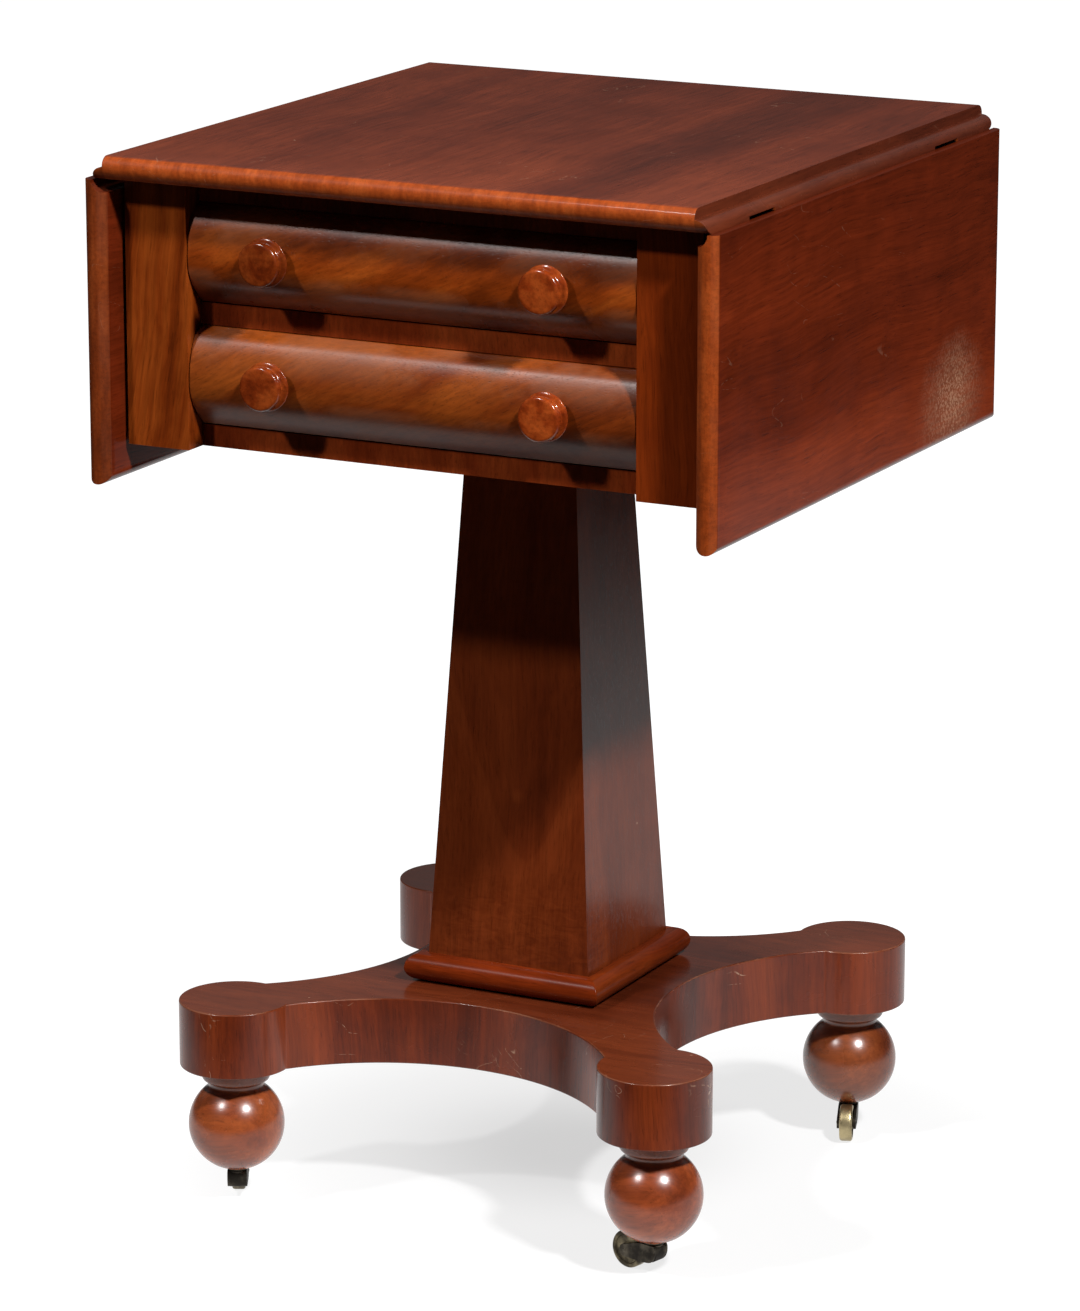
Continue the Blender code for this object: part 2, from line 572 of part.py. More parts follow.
# Platform with four round lobes joined by hollow sides
def platform():
    turn = 3.5
    corner = (LOBE_SPREAD - LOBE_RADIUS * math.cos(math.radians(turn)),
              -LOBE_SPREAD + LOBE_RADIUS * math.sin(math.radians(turn)))
    sag = -corner[1] - HOLLOW
    radius = (corner[0] ** 2 + sag ** 2) / (2 * sag)
    spread = math.degrees(math.asin(corner[0] / radius))
    side = arc((0, -HOLLOW - radius), radius, 90 + spread, 90 - spread, 12)
    lobe = arc((LOBE_SPREAD, -LOBE_SPREAD), LOBE_RADIUS, 180 - turn, 450 + turn, 16)
    quarter = side + lobe[1:-1]
    points = []
    for i in range(4):
        c, s = (1, 0, -1, 0)[i], (0, 1, 0, -1)[i]
        points += [(c * x - s * y, s * x + c * y) for x, y in quarter]
    board = outline("platform", points, "Z", PLATFORM_FOOT, PLATFORM_TOP, TABLE, BASE_WOOD)
    board.location.y = COLUMN_Y
    half = COLUMN_FOOT * 0.30 + GAP
    socket = block("foot_socket", (-half, COLUMN_Y - half, PLATFORM_TOP - PLATFORM * 0.6 - GAP),
                   (half, COLUMN_Y + half, PLATFORM_TOP + DEEP), CUTTERS)
    combine(board, socket, "DIFFERENCE")
    for name, x, y in FEET:
        hole = rod("dowel_hole_" + name, (x, y, PLATFORM_FOOT - DEEP),
                   (x, y, PLATFORM_FOOT + PLATFORM * 0.55 + GAP), DOWEL + GAP, 16, CUTTERS)
        combine(board, hole, "DIFFERENCE")


FEET = [("front_left", -LOBE_SPREAD, COLUMN_Y - LOBE_SPREAD),
        ("front_right", LOBE_SPREAD, COLUMN_Y - LOBE_SPREAD),
        ("back_left", -LOBE_SPREAD, COLUMN_Y + LOBE_SPREAD),
        ("back_right", LOBE_SPREAD, COLUMN_Y + LOBE_SPREAD)]
HEADINGS = {"front_left": 117, "front_right": 165, "back_left": 40, "back_right": -70}


# Ball foot with a collar, turned with its dowel, standing on the caster
def foot_mesh():
    top = PLATFORM_FOOT - GAP
    sleeve = DOWEL * 0.5
    profile = [(0, PLATFORM_FOOT + PLATFORM * 0.55), (DOWEL, PLATFORM_FOOT + PLATFORM * 0.55), (DOWEL, top)]
    profile += [(COLLAR, top), (COLLAR, top - COLLAR_HEIGHT * 0.52), (COLLAR * 0.97, top - COLLAR_HEIGHT * 0.61)]
    profile += [(COLLAR * 0.90, top - COLLAR_HEIGHT * 0.66), (NECK * 0.97, top - COLLAR_HEIGHT * 0.70)]
    profile += [(NECK * 0.95, top - COLLAR_HEIGHT * 0.86)]
    start = math.degrees(math.asin((NECK_Z - BALL_Z) / BALL_RADIUS))
    end = -math.degrees(math.asin((BALL_Z - CASTER) / BALL_RADIUS))
    profile += arc((0, BALL_Z), BALL_RADIUS, start, end, 9)
    hole = sleeve + GAP
    profile += [(hole, CASTER), (hole, CASTER + BALL_RADIUS * 0.65), (0, CASTER + BALL_RADIUS * 0.65)]
    return smooth(settle(turned("foot", profile, 20, CUTTERS, BASE_WOOD)))


# Flanged brass sleeve let into the foot
def socket_mesh():
    sleeve = DOWEL * 0.5
    stem = sleeve * 0.6
    flange = CASTER - GAP
    top = CASTER + BALL_RADIUS * 0.62
    profile = [(stem, top), (sleeve, top), (sleeve, flange), (BALL_FLAT * 0.81, flange),
               (BALL_FLAT * 0.81, flange - 0.0013), (stem, flange - 0.0013)]
    return smooth(settle(turned("socket", profile, 12, CUTTERS, BRASS, closed=True)))


# Swivelling horn with two cheeks and a riveted axle, wheel trailing towards +X
def yoke_mesh():
    stem = DOWEL * 0.5 * 0.6 - RUN_GAP * 2
    top = CASTER - GAP - 0.0013 - JOINT_GAP - WHEEL_RADIUS
    inner = WHEEL_WIDTH / 2 + JOINT_GAP
    outer = inner + WHEEL_RADIUS * 0.144
    near = TRAIL - WHEEL_RADIUS - JOINT_GAP * 2
    eye = WHEEL_RADIUS * 0.34
    horn = block("horn", (-near, -outer + 0.0002, -eye), (near, outer - 0.0002, top), CUTTERS, BRASS)
    tools = [rod("stem", (0, 0, 0), (0, 0, CASTER + BALL_RADIUS * 0.55 - WHEEL_RADIUS), stem, 14, CUTTERS)]
    shape = [(-near - 0.0003, -eye * 0.6), (-near - 0.0003, top * 0.8), (near, top * 0.9)]
    shape += arc((TRAIL, 0), eye, 80, -90, 7)
    shape += [(near, -eye - 0.0003)]
    for out in (-1, 1):
        ys = sorted((out * inner, out * outer))
        tools.append(outline("cheek", shape, "Y", ys[0], ys[1], CUTTERS))
    reach = outer + 0.0005
    tools.append(rod("axle", (TRAIL, -reach, 0), (TRAIL, reach, 0), WHEEL_RADIUS * 0.13, 12, CUTTERS))
    for tool in tools:
        combine(horn, tool, "UNION")
    return settle(horn, tools)


def wheel_mesh():
    half = WHEEL_WIDTH / 2
    soft = WHEEL_RADIUS * 0.09
    bore = WHEEL_RADIUS * 0.13 + RUN_GAP
    profile = [(bore, half), (WHEEL_RADIUS - soft, half), (WHEEL_RADIUS, half - soft),
               (WHEEL_RADIUS, soft - half), (WHEEL_RADIUS - soft, -half), (bore, -half)]
    return smooth(settle(turned("wheel", profile, 20, CUTTERS, BRASS, closed=True)))


def feet():
    foot, socket, yoke, wheel = foot_mesh(), socket_mesh(), yoke_mesh(), wheel_mesh()
    for name, x, y in FEET:
        copy_of("foot_" + name, foot, (x, y, 0))
        copy_of("caster_socket_" + name, socket, (x, y, 0))
        swivel = pivot("pivot_caster_" + name, (x, y, WHEEL_RADIUS), (0, 0, math.radians(HEADINGS[name])))
        copy_of("caster_yoke_" + name, yoke, (0, 0, 0), parent=swivel)
        copy_of("caster_wheel_" + name, wheel, (TRAIL, 0, 0), (math.pi / 2, 0, 0), swivel)


joined_top()
case()
drawers()
column()
platform()
feet()
bpy.context.view_layer.update()
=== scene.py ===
"""Looks of the drop-leaf work table: finer pieces, finishes, light and camera."""

import math

import bmesh
import bpy
from mathutils import Matrix, Vector


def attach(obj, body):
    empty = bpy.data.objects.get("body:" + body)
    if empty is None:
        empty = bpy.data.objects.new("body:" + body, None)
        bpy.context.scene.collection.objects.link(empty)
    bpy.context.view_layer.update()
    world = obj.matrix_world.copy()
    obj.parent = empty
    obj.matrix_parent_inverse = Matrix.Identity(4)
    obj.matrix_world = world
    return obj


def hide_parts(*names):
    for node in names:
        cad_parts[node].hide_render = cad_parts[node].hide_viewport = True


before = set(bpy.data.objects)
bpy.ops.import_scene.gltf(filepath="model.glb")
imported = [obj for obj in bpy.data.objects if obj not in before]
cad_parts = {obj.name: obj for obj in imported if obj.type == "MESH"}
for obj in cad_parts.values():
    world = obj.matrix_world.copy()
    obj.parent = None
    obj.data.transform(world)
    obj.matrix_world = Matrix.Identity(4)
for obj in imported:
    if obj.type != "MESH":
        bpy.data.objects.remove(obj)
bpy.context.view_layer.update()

# Sizes of the frame, in metres
HEIGHT, BOARD = 0.7392, 0.0165
HALF_DEPTH = 0.233
AXIS_X, AXIS_Z = 0.2163, 0.72341
UNDER = HEIGHT - BOARD
NOSE_UPPER, NOSE_LOWER = BOARD * 0.42, BOARD * 0.55
FILLET, OVOLO = BOARD * 0.436, BOARD * 0.521
LEAF_OUT = FILLET + OVOLO
LEAF_IN = LEAF_OUT - BOARD
LEAF_WIDTH = 0.2068
HINGE_SPREAD, HINGE_WIDTH, HINGE_LEAF, HINGE_TOP = 0.150052, 0.038, 0.044, 0.026
PLATE, KNUCKLE = 0.0016, 0.0024
GAP, JOINT_GAP, SLIDE_GAP = 0.0003, 0.0004, 0.0006
RAIL_Y, CREST_Y = -0.1930, -0.2108
STILE_X = 0.1658
DRAWER_BASE = {"lower": 0.5566, "upper": 0.6395}
OPENING = 0.0679
KNOB_SPREAD, KNOB_RADIUS, KNOB_STAND = 0.10296, 0.0165, 0.0169
KNOB_RAISE = 0.0014
DRAWER_FRONT = 0.016          # drawer front behind the rail face
# Swell of a drawer front: share of its height, share of its depth
SWELL = ((0.0, 0.0), (0.127, 0.47), (0.249, 0.805), (0.378, 0.972), (0.515, 1.0),
         (0.681, 0.91), (0.826, 0.735), (0.934, 0.47), (1.0, 0.0))
# Turned knob: share of its radius, distance behind its face
KNOB_FACE = ((0.0, 0.0), (0.40, 0.0001), (0.74, 0.0004), (0.835, 0.0007), (0.885, 0.0013), (0.910, 0.0021))
KNOB_HOLLOW = ((0.910, 0.0021), (0.920, 0.0034), (0.905, 0.0047), (0.850, 0.0056), (0.775, 0.0066),
               (0.745, 0.0078), (0.790, 0.0092), (0.920, 0.0100))
KNOB_BACK = ((0.920, 0.0100), (0.985, 0.0106), (0.999, 0.0114), (0.965, 0.0124), (0.80, 0.0133),
             (0.60, 0.0142), (0.50, KNOB_STAND * 0.92), (0.50, KNOB_STAND - GAP))
KNOB_PEG = 0.28               # radius of the peg behind a knob, as a share of the knob's
COLUMN_Y = -0.008
COLUMN_FOOT_Z, COLUMN_TOP_Z = 0.14681, 0.54130
COLUMN_FOOT, COLUMN_TOP = 0.1260, 0.0824
MOULDING_WIDTH, MOULDING_HEIGHT = 0.1502, 0.0196
PLATFORM_FOOT, PLATFORM_TOP = 0.09971, 0.14651
LOBE_SPREAD, LOBE_RADIUS, HOLLOW = 0.161, 0.0388, 0.1005
BALL_RADIUS, BALL_FLAT, BALL_Z = 0.0333, 0.0105, 0.05625
NECK, NECK_Z, COLLAR, COLLAR_HEIGHT, DOWEL = 0.02008, 0.08281, 0.02371, 0.0169, 0.01081
SLEEVE, STEM = DOWEL * 0.5, DOWEL * 0.3
CASTER, WHEEL_RADIUS, WHEEL_WIDTH, TRAIL = 0.02464, 0.0132, 0.009, 0.02033
FLANGE, FLANGE_PLATE, AXLE, RUN_GAP = CASTER - GAP, 0.0013, WHEEL_RADIUS * 0.13, 0.00015
FEET = {"front_left": (-1, -1, 117), "front_right": (1, -1, 165),
        "back_left": (-1, 1, 40), "back_right": (1, 1, -70)}

HANDS = ((-1, "left"), (1, "right"))
ENDS = ((-1, "front"), (1, "back"))
PAST = 0.002                  # recesses are cut from this far outside the board
LONGER = 0.01                 # boards are cut from blanks that run this far past their ends
SPAN = 0.3                    # half length of a cutter that spans the top
ON_SIDE = Matrix.Rotation(math.pi / 2, 4, "X")

LOOKS = bpy.data.collections.new("looks")
bpy.context.scene.collection.children.link(LOOKS)


# Shapes
def arc(centre, radius, start, end, steps):
    points = []
    for i in range(steps + 1):
        t = math.radians(start + (end - start) * i / steps)
        points.append((centre[0] + radius * math.cos(t), centre[1] + radius * math.sin(t)))
    return points


def flowing(points, per):
    """Smooth curve through the given points."""
    ends = [points[0]] + list(points) + [points[-1]]
    curve = []
    for a, b, c, d in zip(ends, ends[1:], ends[2:], ends[3:]):
        for i in range(per):
            t = i / per
            weights = (2 * t * t - t - t ** 3, 2 - 5 * t * t + 3 * t ** 3,
                       t + 4 * t * t - 3 * t ** 3, t ** 3 - t * t)
            curve.append(tuple(sum(w * v for w, v in zip(weights, values)) / 2 for values in zip(a, b, c, d)))
    curve.append(tuple(points[-1]))
    return curve


def from_bmesh(name, bm):
    bmesh.ops.recalc_face_normals(bm, faces=bm.faces)
    mesh = bpy.data.meshes.new(name)
    bm.to_mesh(mesh)
    bm.free()
    mesh.shade_smooth()
    ob = bpy.data.objects.new(name, mesh)
    LOOKS.objects.link(ob)
    return ob


SPREAD = {"X": lambda u, v, w: (w, u, v), "Y": lambda u, v, w: (u, w, v), "Z": lambda u, v, w: (u, v, w)}


def add_prism(bm, points, axis, low, high):
    ends = [[bm.verts.new(SPREAD[axis](u, v, w)) for u, v in points] for w in (low, high)]
    bm.faces.new(ends[0])
    bm.faces.new(list(reversed(ends[1])))
    for i in range(len(points)):
        j = (i + 1) % len(points)
        bm.faces.new((ends[0][i], ends[0][j], ends[1][j], ends[1][i]))


def prism(name, points, axis, low, high):
    """Outline of (y, z), (x, z) or (x, y) given length along X, Y or Z."""
    bm = bmesh.new()
    add_prism(bm, points, axis, low, high)
    return from_bmesh(name, bm)


def add_turning(bm, profile, steps, matrix=Matrix(), closed=False):
    rings = []
    for r, h in profile:
        count = 1 if r < 1e-6 else steps
        rings.append([bm.verts.new(matrix @ Vector((r * math.cos(2 * math.pi * i / steps),
                                                    r * math.sin(2 * math.pi * i / steps), h)))
                      for i in range(count)])
    pairs = list(zip(rings, rings[1:]))
    if closed:
        pairs.append((rings[-1], rings[0]))
    for a, b in pairs:
        for i in range(steps):
            j = (i + 1) % steps
            if len(a) == 1:
                bm.faces.new((a[0], b[j], b[i]))
            elif len(b) == 1:
                bm.faces.new((a[i], a[j], b[0]))
            else:
                bm.faces.new((a[i], a[j], b[j], b[i]))


def turning(name, profile, steps, matrix=Matrix(), closed=False):
    """Profile of (radius, height) turned about Z, then set in place."""
    bm = bmesh.new()
    add_turning(bm, profile, steps, matrix, closed)
    return from_bmesh(name, bm)


def carve(ob, tools, operation="DIFFERENCE"):
    """Cut the tools out of an object, or keep only what they share with it."""
    for tool in tools:
        mod = ob.modifiers.new("carve", "BOOLEAN")
        mod.operation = operation
        mod.solver = "EXACT"
        mod.object = tool
    settle(ob)
    for tool in tools:
        bpy.data.objects.remove(tool, do_unlink=True)
    return ob


def settle(ob):
    """Apply an object's modifiers."""
    bpy.context.view_layer.update()
    graph = bpy.context.evaluated_depsgraph_get()
    mesh = bpy.data.meshes.new_from_object(ob.evaluated_get(graph), depsgraph=graph)
    ob.modifiers.clear()
    ob.data = mesh
    return ob


def soften(ob, width=0.0007, segments=3, angle=34, harden=True):
    """Round the sharp edges a little, as years of polishing do."""
    mod = ob.modifiers.new("worn edges", "BEVEL")
    mod.width = width
    mod.segments = segments
    mod.limit_method = "ANGLE"
    mod.angle_limit = math.radians(angle)
    mod.harden_normals = harden
    return ob


def piece(ob, body, slot, finishes, *nodes):
    """Give an object its finish and body, in place of the frame's nodes. The slot argument is not used."""
    for finish in finishes if isinstance(finishes, tuple) else (finishes,):
        ob.data.materials.append(finish)
    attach(ob, body)
    if nodes:
        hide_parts(*nodes)
    return ob


# Finishes
class Nodes:
    """Strings nodes together in one shader tree."""

    def __init__(self, tree):
        self.tree = tree

    def node(self, kind, **settings):
        made = self.tree.nodes.new(kind)
        for key, value in settings.items():
            setattr(made, key, value)
        return made

    def feed(self, socket, value):
        if isinstance(value, bpy.types.NodeSocket):
            self.tree.links.new(value, socket)
        else:
            socket.default_value = value

    def math(self, operation, a, b=0.0, clamp=False):
        made = self.node("ShaderNodeMath", operation=operation, use_clamp=clamp)
        self.feed(made.inputs[0], a)
        self.feed(made.inputs[1], b)
        return made.outputs[0]

    def vec(self, operation, a, b):
        made = self.node("ShaderNodeVectorMath", operation=operation)
        self.feed(made.inputs[0], a)
        self.feed(made.inputs[3 if operation == "SCALE" else 1], b)
        return made.outputs[1 if operation in ("LENGTH", "DISTANCE", "DOT_PRODUCT") else 0]

    def split(self, vector):
        made = self.node("ShaderNodeSeparateXYZ")
        self.feed(made.inputs[0], vector)
        return made.outputs

    def turn(self, vector, angles):
        made = self.node("ShaderNodeVectorRotate", rotation_type="EULER_XYZ")
        self.feed(made.inputs["Vector"], vector)
        self.feed(made.inputs["Rotation"], angles)
        return made.outputs[0]

    def noise(self, vector, scale, detail=3.0, rough=0.55, distort=0.0, colour=False):
        made = self.node("ShaderNodeTexNoise")
        self.feed(made.inputs["Vector"], vector)
        settings = {"Scale": scale, "Detail": detail, "Roughness": rough, "Distortion": distort}
        for key, value in settings.items():
            self.feed(made.inputs[key], value)
        return made.outputs["Color" if colour else 0]

    def cells(self, vector, scale):
        made = self.node("ShaderNodeTexVoronoi")
        self.feed(made.inputs["Vector"], vector)
        self.feed(made.inputs["Scale"], scale)
        return made.outputs["Distance"], made.outputs["Color"]

    def step(self, value, low, high, start=0.0, end=1.0):
        made = self.node("ShaderNodeMapRange", interpolation_type="SMOOTHSTEP")
        settings = {"Value": value, "From Min": low, "From Max": high, "To Min": start, "To Max": end}
        for key, setting in settings.items():
            self.feed(made.inputs[key], setting)
        return made.outputs[0]

    def ramp(self, value, stops):
        made = self.node("ShaderNodeValToRGB")
        self.feed(made.inputs[0], value)
        band = made.color_ramp.elements
        while len(band) < len(stops):
            band.new(0.5)
        for element, (at, colour) in zip(band, stops):
            element.position = at
            element.color = (*colour, 1.0)
        return made.outputs[0]

    def mix(self, factor, a, b, blend="MIX"):
        made = self.node("ShaderNodeMix", data_type="RGBA", blend_type=blend)
        self.feed(made.inputs[0], factor)
        self.feed(made.inputs[6], a if isinstance(a, bpy.types.NodeSocket) else (*a, 1.0))
        self.feed(made.inputs[7], b if isinstance(b, bpy.types.NodeSocket) else (*b, 1.0))
        return made.outputs[2]

    def grey(self, value):
        made = self.node("ShaderNodeCombineXYZ")
        for socket in made.inputs:
            self.feed(socket, value)
        return made.outputs[0]


class Shade(Nodes):
    """A material with one Principled shader."""

    def __init__(self, name):
        self.mat = bpy.data.materials.new(name)
        self.mat.use_nodes = True
        super().__init__(self.mat.node_tree)
        self.tree.nodes.clear()
        out = self.node("ShaderNodeOutputMaterial")
        self.shader = self.node("ShaderNodeBsdfPrincipled")
        self.feed(out.inputs[0], self.shader.outputs[0])
        coords = self.node("ShaderNodeTexCoord")
        self.place = coords.outputs["Object"]
        self.normal = coords.outputs["Normal"]

    def bump(self, height, distance, strength=1.0):
        made = self.node("ShaderNodeBump")
        self.feed(made.inputs["Height"], height)
        made.inputs["Distance"].default_value = distance
        made.inputs["Strength"].default_value = strength
        self.feed(self.shader.inputs["Normal"], made.outputs[0])


PALE = (0.42, 0.25, 0.16)       # bare wood under the polish
JOINT_DARK = (0.012, 0.004, 0.002)
PAINTED_GLINT = (0.52, 0.30, 0.18)      # painted reflection: pale speckles where a bright spot would be mirrored


def wood(name, axis, tones, shift=0.0, tilt=0.0, streak=34.0, spread=(0.30, 0.70), flame=None, ends=None,
         rough=0.24, coat=0.06, specks=0.0, scratches=0.0, chips=None, edge=0.5, glint_spot=None, peel=0.30,
         spec=0.22, stretch=0.06, lining=1.0, joint=None):
    """Polished wood: streaks, pores and figure along the grain, wear on the edges.

    flame adds a figure, ends gives the tones of end grain, chips the two heights of worn edges,
    bloom the place, reach and strength of a painted reflection, and joint the half width
    beyond which the wood is darkened.
    """
    s = Shade(name)
    along = tuple(stretch if a == axis else 1.0 for a in "XYZ")
    fine = tuple(stretch * 0.58 if a == axis else 1.0 for a in "XYZ")
    at = s.vec("ADD", s.place, (shift * 0.37, shift * 0.61, shift * 0.83))
    if tilt:
        at = s.turn(at, (0.0, math.radians(tilt), 0.0))
    drift = s.vec("SUBTRACT", s.noise(at, 4.0, 3.0, 0.5, colour=True), (0.5, 0.5, 0.5))
    bent = s.vec("ADD", at, s.vec("SCALE", drift, 0.035))
    band = s.noise(s.vec("MULTIPLY", bent, along), streak, 6.0, 0.58)
    broad = s.noise(s.vec("MULTIPLY", bent, along), streak * 0.28, 2.0, 0.5)
    mottle = s.noise(bent, 26.0, 3.0, 0.6)
    tone = s.math("ADD", s.math("MULTIPLY", band, 0.46), s.math("MULTIPLY", broad, 0.42))
    tone = s.math("ADD", tone, s.math("MULTIPLY", mottle, 0.14))
    if flame:
        tone = s.math("ADD", tone, flame(s, bent, drift))
    colour = s.ramp(s.step(tone, *spread), ((0.0, tones[0]), (0.5, tones[1]), (1.0, tones[2])))
    if ends:
        facing = s.math("ABSOLUTE", s.split(s.normal)["XYZ".index(axis)])
        layer = s.noise(s.vec("MULTIPLY", s.place, (1.0, 0.12, 0.12)), 170.0, 5.0, 0.7)
        cloud = s.noise(s.place, 30.0, 3.0)
        layer = s.math("ADD", s.math("MULTIPLY", layer, 0.6), s.math("MULTIPLY", cloud, 0.4))
        shown = s.ramp(s.step(layer, 0.32, 0.70), ((0.0, ends[0]), (0.5, ends[1]), (1.0, ends[2])))
        raw = s.step(facing, 0.22, 0.50)
        colour = s.mix(raw, colour, shown)
    lines = s.noise(s.vec("MULTIPLY", bent, fine), 420.0, 3.0, 0.6)
    pores = s.step(s.noise(s.vec("MULTIPLY", bent, fine), 1500.0, 1.0), 0.60, 0.72)
    grain = s.math("SUBTRACT", s.step(lines, 0.25, 0.75, 1.0 - 0.20 * lining, 1.0 + 0.16 * lining),
                   s.math("MULTIPLY", pores, 0.30 * lining))
    colour = s.mix(1.0, colour, s.grey(grain), "MULTIPLY")
    ripple = s.noise(at, 640.0, 2.0)
    bump = s.math("SUBTRACT", s.math("MULTIPLY", ripple, 0.5), s.math("MULTIPLY", pores, 0.4))
    hazy = s.noise(at, 18.0, 4.0, 0.6)
    dull = s.math("ADD", s.math("MULTIPLY", s.math("SUBTRACT", hazy, 0.5), 0.18), rough)
    if ends:
        dull = s.math("ADD", dull, s.math("MULTIPLY", raw, 0.26))
    sides = s.split(s.vec("ABSOLUTE", s.normal, (0.0, 0.0, 0.0)))
    flat = s.math("MAXIMUM", s.math("MAXIMUM", sides[0], sides[1]), sides[2])
    rubbed = s.math("MULTIPLY", s.step(flat, 0.985, 0.90), s.step(hazy, 0.36, 0.62))
    if chips:
        low, high = chips
        level = s.split(s.place)[2]
        near = s.math("MINIMUM", s.math("ABSOLUTE", s.math("SUBTRACT", level, low)),
                      s.math("ABSOLUTE", s.math("SUBTRACT", level, high)))
        ragged = s.math("ADD", near, s.math("MULTIPLY", s.noise(s.place, 260.0, 4.0, 0.7), 0.0030))
        sparse = s.step(s.noise(s.place, 21.0, 2.0), 0.53, 0.60)
        chipped = s.math("MULTIPLY", s.math("MULTIPLY", s.step(ragged, 0.0021, 0.0016), sparse),
                         s.step(sides[2], 0.97, 0.90))
        colour = s.mix(s.math("MULTIPLY", chipped, 0.75), colour, PALE)
        dull = s.math("ADD", dull, s.math("MULTIPLY", chipped, 0.3))
        bump = s.math("SUBTRACT", bump, s.math("MULTIPLY", chipped, 1.2))
        rubbed = s.math("MULTIPLY", s.step(sides[2], 0.10, 0.30), s.step(sides[2], 0.985, 0.90))
        rubbed = s.math("MULTIPLY", rubbed, s.step(hazy, 0.40, 0.60))
    colour = s.mix(s.math("MULTIPLY", rubbed, edge), colour, s.mix(0.35, tones[2], PALE))
    # Darker along the rule joint, past the given half width
    if joint:
        beyond = s.math("ABSOLUTE", s.split(s.place)[0])
        colour = s.mix(s.step(beyond, joint, joint + 0.0006, 0.0, 0.34), colour, JOINT_DARK)
    if specks:
        gap, pick = s.cells(s.place, 52.0)
        spot = s.math("MULTIPLY", s.step(gap, 0.055, 0.030), s.step(s.split(pick)[0], 0.955, 0.965))
        colour = s.mix(s.math("MULTIPLY", spot, specks), colour, PALE)
    if scratches:
        crossed = s.turn(s.place, (0.5, 0.9, 0.35))
        thread = s.noise(s.vec("MULTIPLY", crossed, (1.0, 0.16, 1.0)), 42.0, 1.0, 0.4, 0.6)
        line = s.step(s.math("ABSOLUTE", s.math("SUBTRACT", thread, 0.5)), 0.0042, 0.0012)
        line = s.math("MULTIPLY", line, s.step(s.noise(s.place, 15.0, 2.0), 0.56, 0.62))
        line = s.math("MULTIPLY", line, s.step(s.noise(s.place, 210.0, 2.0), 0.44, 0.56))
        colour = s.mix(s.math("MULTIPLY", line, scratches), colour, PALE)
        bump = s.math("SUBTRACT", bump, s.math("MULTIPLY", line, 0.5))
    # Painted reflection: a pale, rougher, speckled patch where a bright spot would be mirrored
    if glint_spot:
        centre, reach, amount = glint_spot
        off = s.vec("LENGTH", s.vec("MULTIPLY", s.vec("SUBTRACT", s.place, centre), reach), (0.0, 0.0, 0.0))
        glint_mask = s.math("MULTIPLY", s.step(s.math("ADD", off, s.math("MULTIPLY", hazy, 0.6)), 1.25, 0.25),
                      s.step(s.noise(s.place, 520.0, 2.0), 0.40, 0.66, 0.25, 1.0))
        colour = s.mix(s.math("MULTIPLY", glint_mask, amount), colour, PAINTED_GLINT)
        dull = s.math("ADD", dull, s.math("MULTIPLY", glint_mask, 0.15))
    s.feed(s.shader.inputs["Base Color"], colour)
    s.feed(s.shader.inputs["Roughness"], s.math("MAXIMUM", dull, 0.08))
    s.bump(bump, 0.00008, peel)
    s.shader.inputs["Specular IOR Level"].default_value = spec
    s.shader.inputs["Coat Weight"].default_value = coat
    s.shader.inputs["Coat Roughness"].default_value = 0.12
    return s.mat


def metal(name, bright, dark, worn=(0.40, 0.62), rough=0.32):
    """Old brass or bronze: tarnish in clouds, rubbed bright where it is handled."""
    s = Shade(name)
    cloud = s.noise(s.place, 110.0, 3.0, 0.5)
    grit = s.noise(s.place, 1600.0, 3.0, 0.6)
    tone = s.math("ADD", s.math("MULTIPLY", cloud, 0.8), s.math("MULTIPLY", grit, 0.2))
    shine = s.step(tone, *worn)
    colour = s.mix(shine, dark, bright)
    s.feed(s.shader.inputs["Base Color"], s.mix(s.step(grit, 0.58, 0.74), colour, dark))
    s.shader.inputs["Metallic"].default_value = 1.0
    dull = s.math("ADD", s.math("MULTIPLY", s.math("SUBTRACT", 1.0, shine), 0.25), rough)
    s.feed(s.shader.inputs["Roughness"], s.math("ADD", dull, s.math("MULTIPLY", grit, 0.10)))
    s.bump(s.math("ADD", s.math("MULTIPLY", cloud, 0.7), s.math("MULTIPLY", grit, 0.5)), 0.00025, 0.5)
    return s.mat


def crotch(s, bent, drift):
    """Tongue of darker wood low on the front of the column, with a knot in it and curls below."""
    x, y, z = s.split(s.place)
    wob = s.split(drift)
    u = s.math("ADD", s.math("SUBTRACT", x, 0.0095), s.math("MULTIPLY", wob[0], 0.012))
    v = s.math("ADD", z, s.math("MULTIPLY", wob[2], 0.030))
    bend = s.math("SQRT", s.math("ADD", s.math("MULTIPLY", u, u), 0.0004))
    inside = s.math("SUBTRACT", s.math("SUBTRACT", v, 0.180), s.math("MULTIPLY", bend, 3.0))
    tongue = s.math("MULTIPLY", s.step(inside, -0.001, 0.003), s.step(inside, 0.085, 0.030))
    glow = s.math("MULTIPLY", s.step(inside, 0.001, -0.003), s.step(inside, -0.045, -0.008))
    away = s.vec("DISTANCE", s.place, (0.004, -0.066, 0.286))
    knot = s.step(away, 0.0075, 0.0015)
    rings = s.math("MULTIPLY", s.math("SINE", s.math("MULTIPLY", inside, 420.0)), s.step(inside, 0.060, 0.0))
    curls = s.math("SUBTRACT", s.noise(s.vec("MULTIPLY", bent, (1.0, 1.0, 2.6)), 62.0, 3.0, 0.6, 1.2), 0.5)
    curls = s.math("MULTIPLY", curls, s.step(z, 0.25, 0.19))
    figure = s.math("SUBTRACT", s.math("MULTIPLY", glow, 0.040), s.math("MULTIPLY", tongue, 0.022))
    figure = s.math("ADD", figure, s.math("MULTIPLY", knot, 0.10))
    figure = s.math("ADD", figure, s.math("MULTIPLY", rings, 0.006))
    figure = s.math("ADD", figure, s.math("MULTIPLY", curls, 0.30))
    figure = s.math("MULTIPLY", s.math("ADD", figure, 0.055), s.step(y, -0.030, -0.045))
    return s.math("SUBTRACT", figure, 0.020)


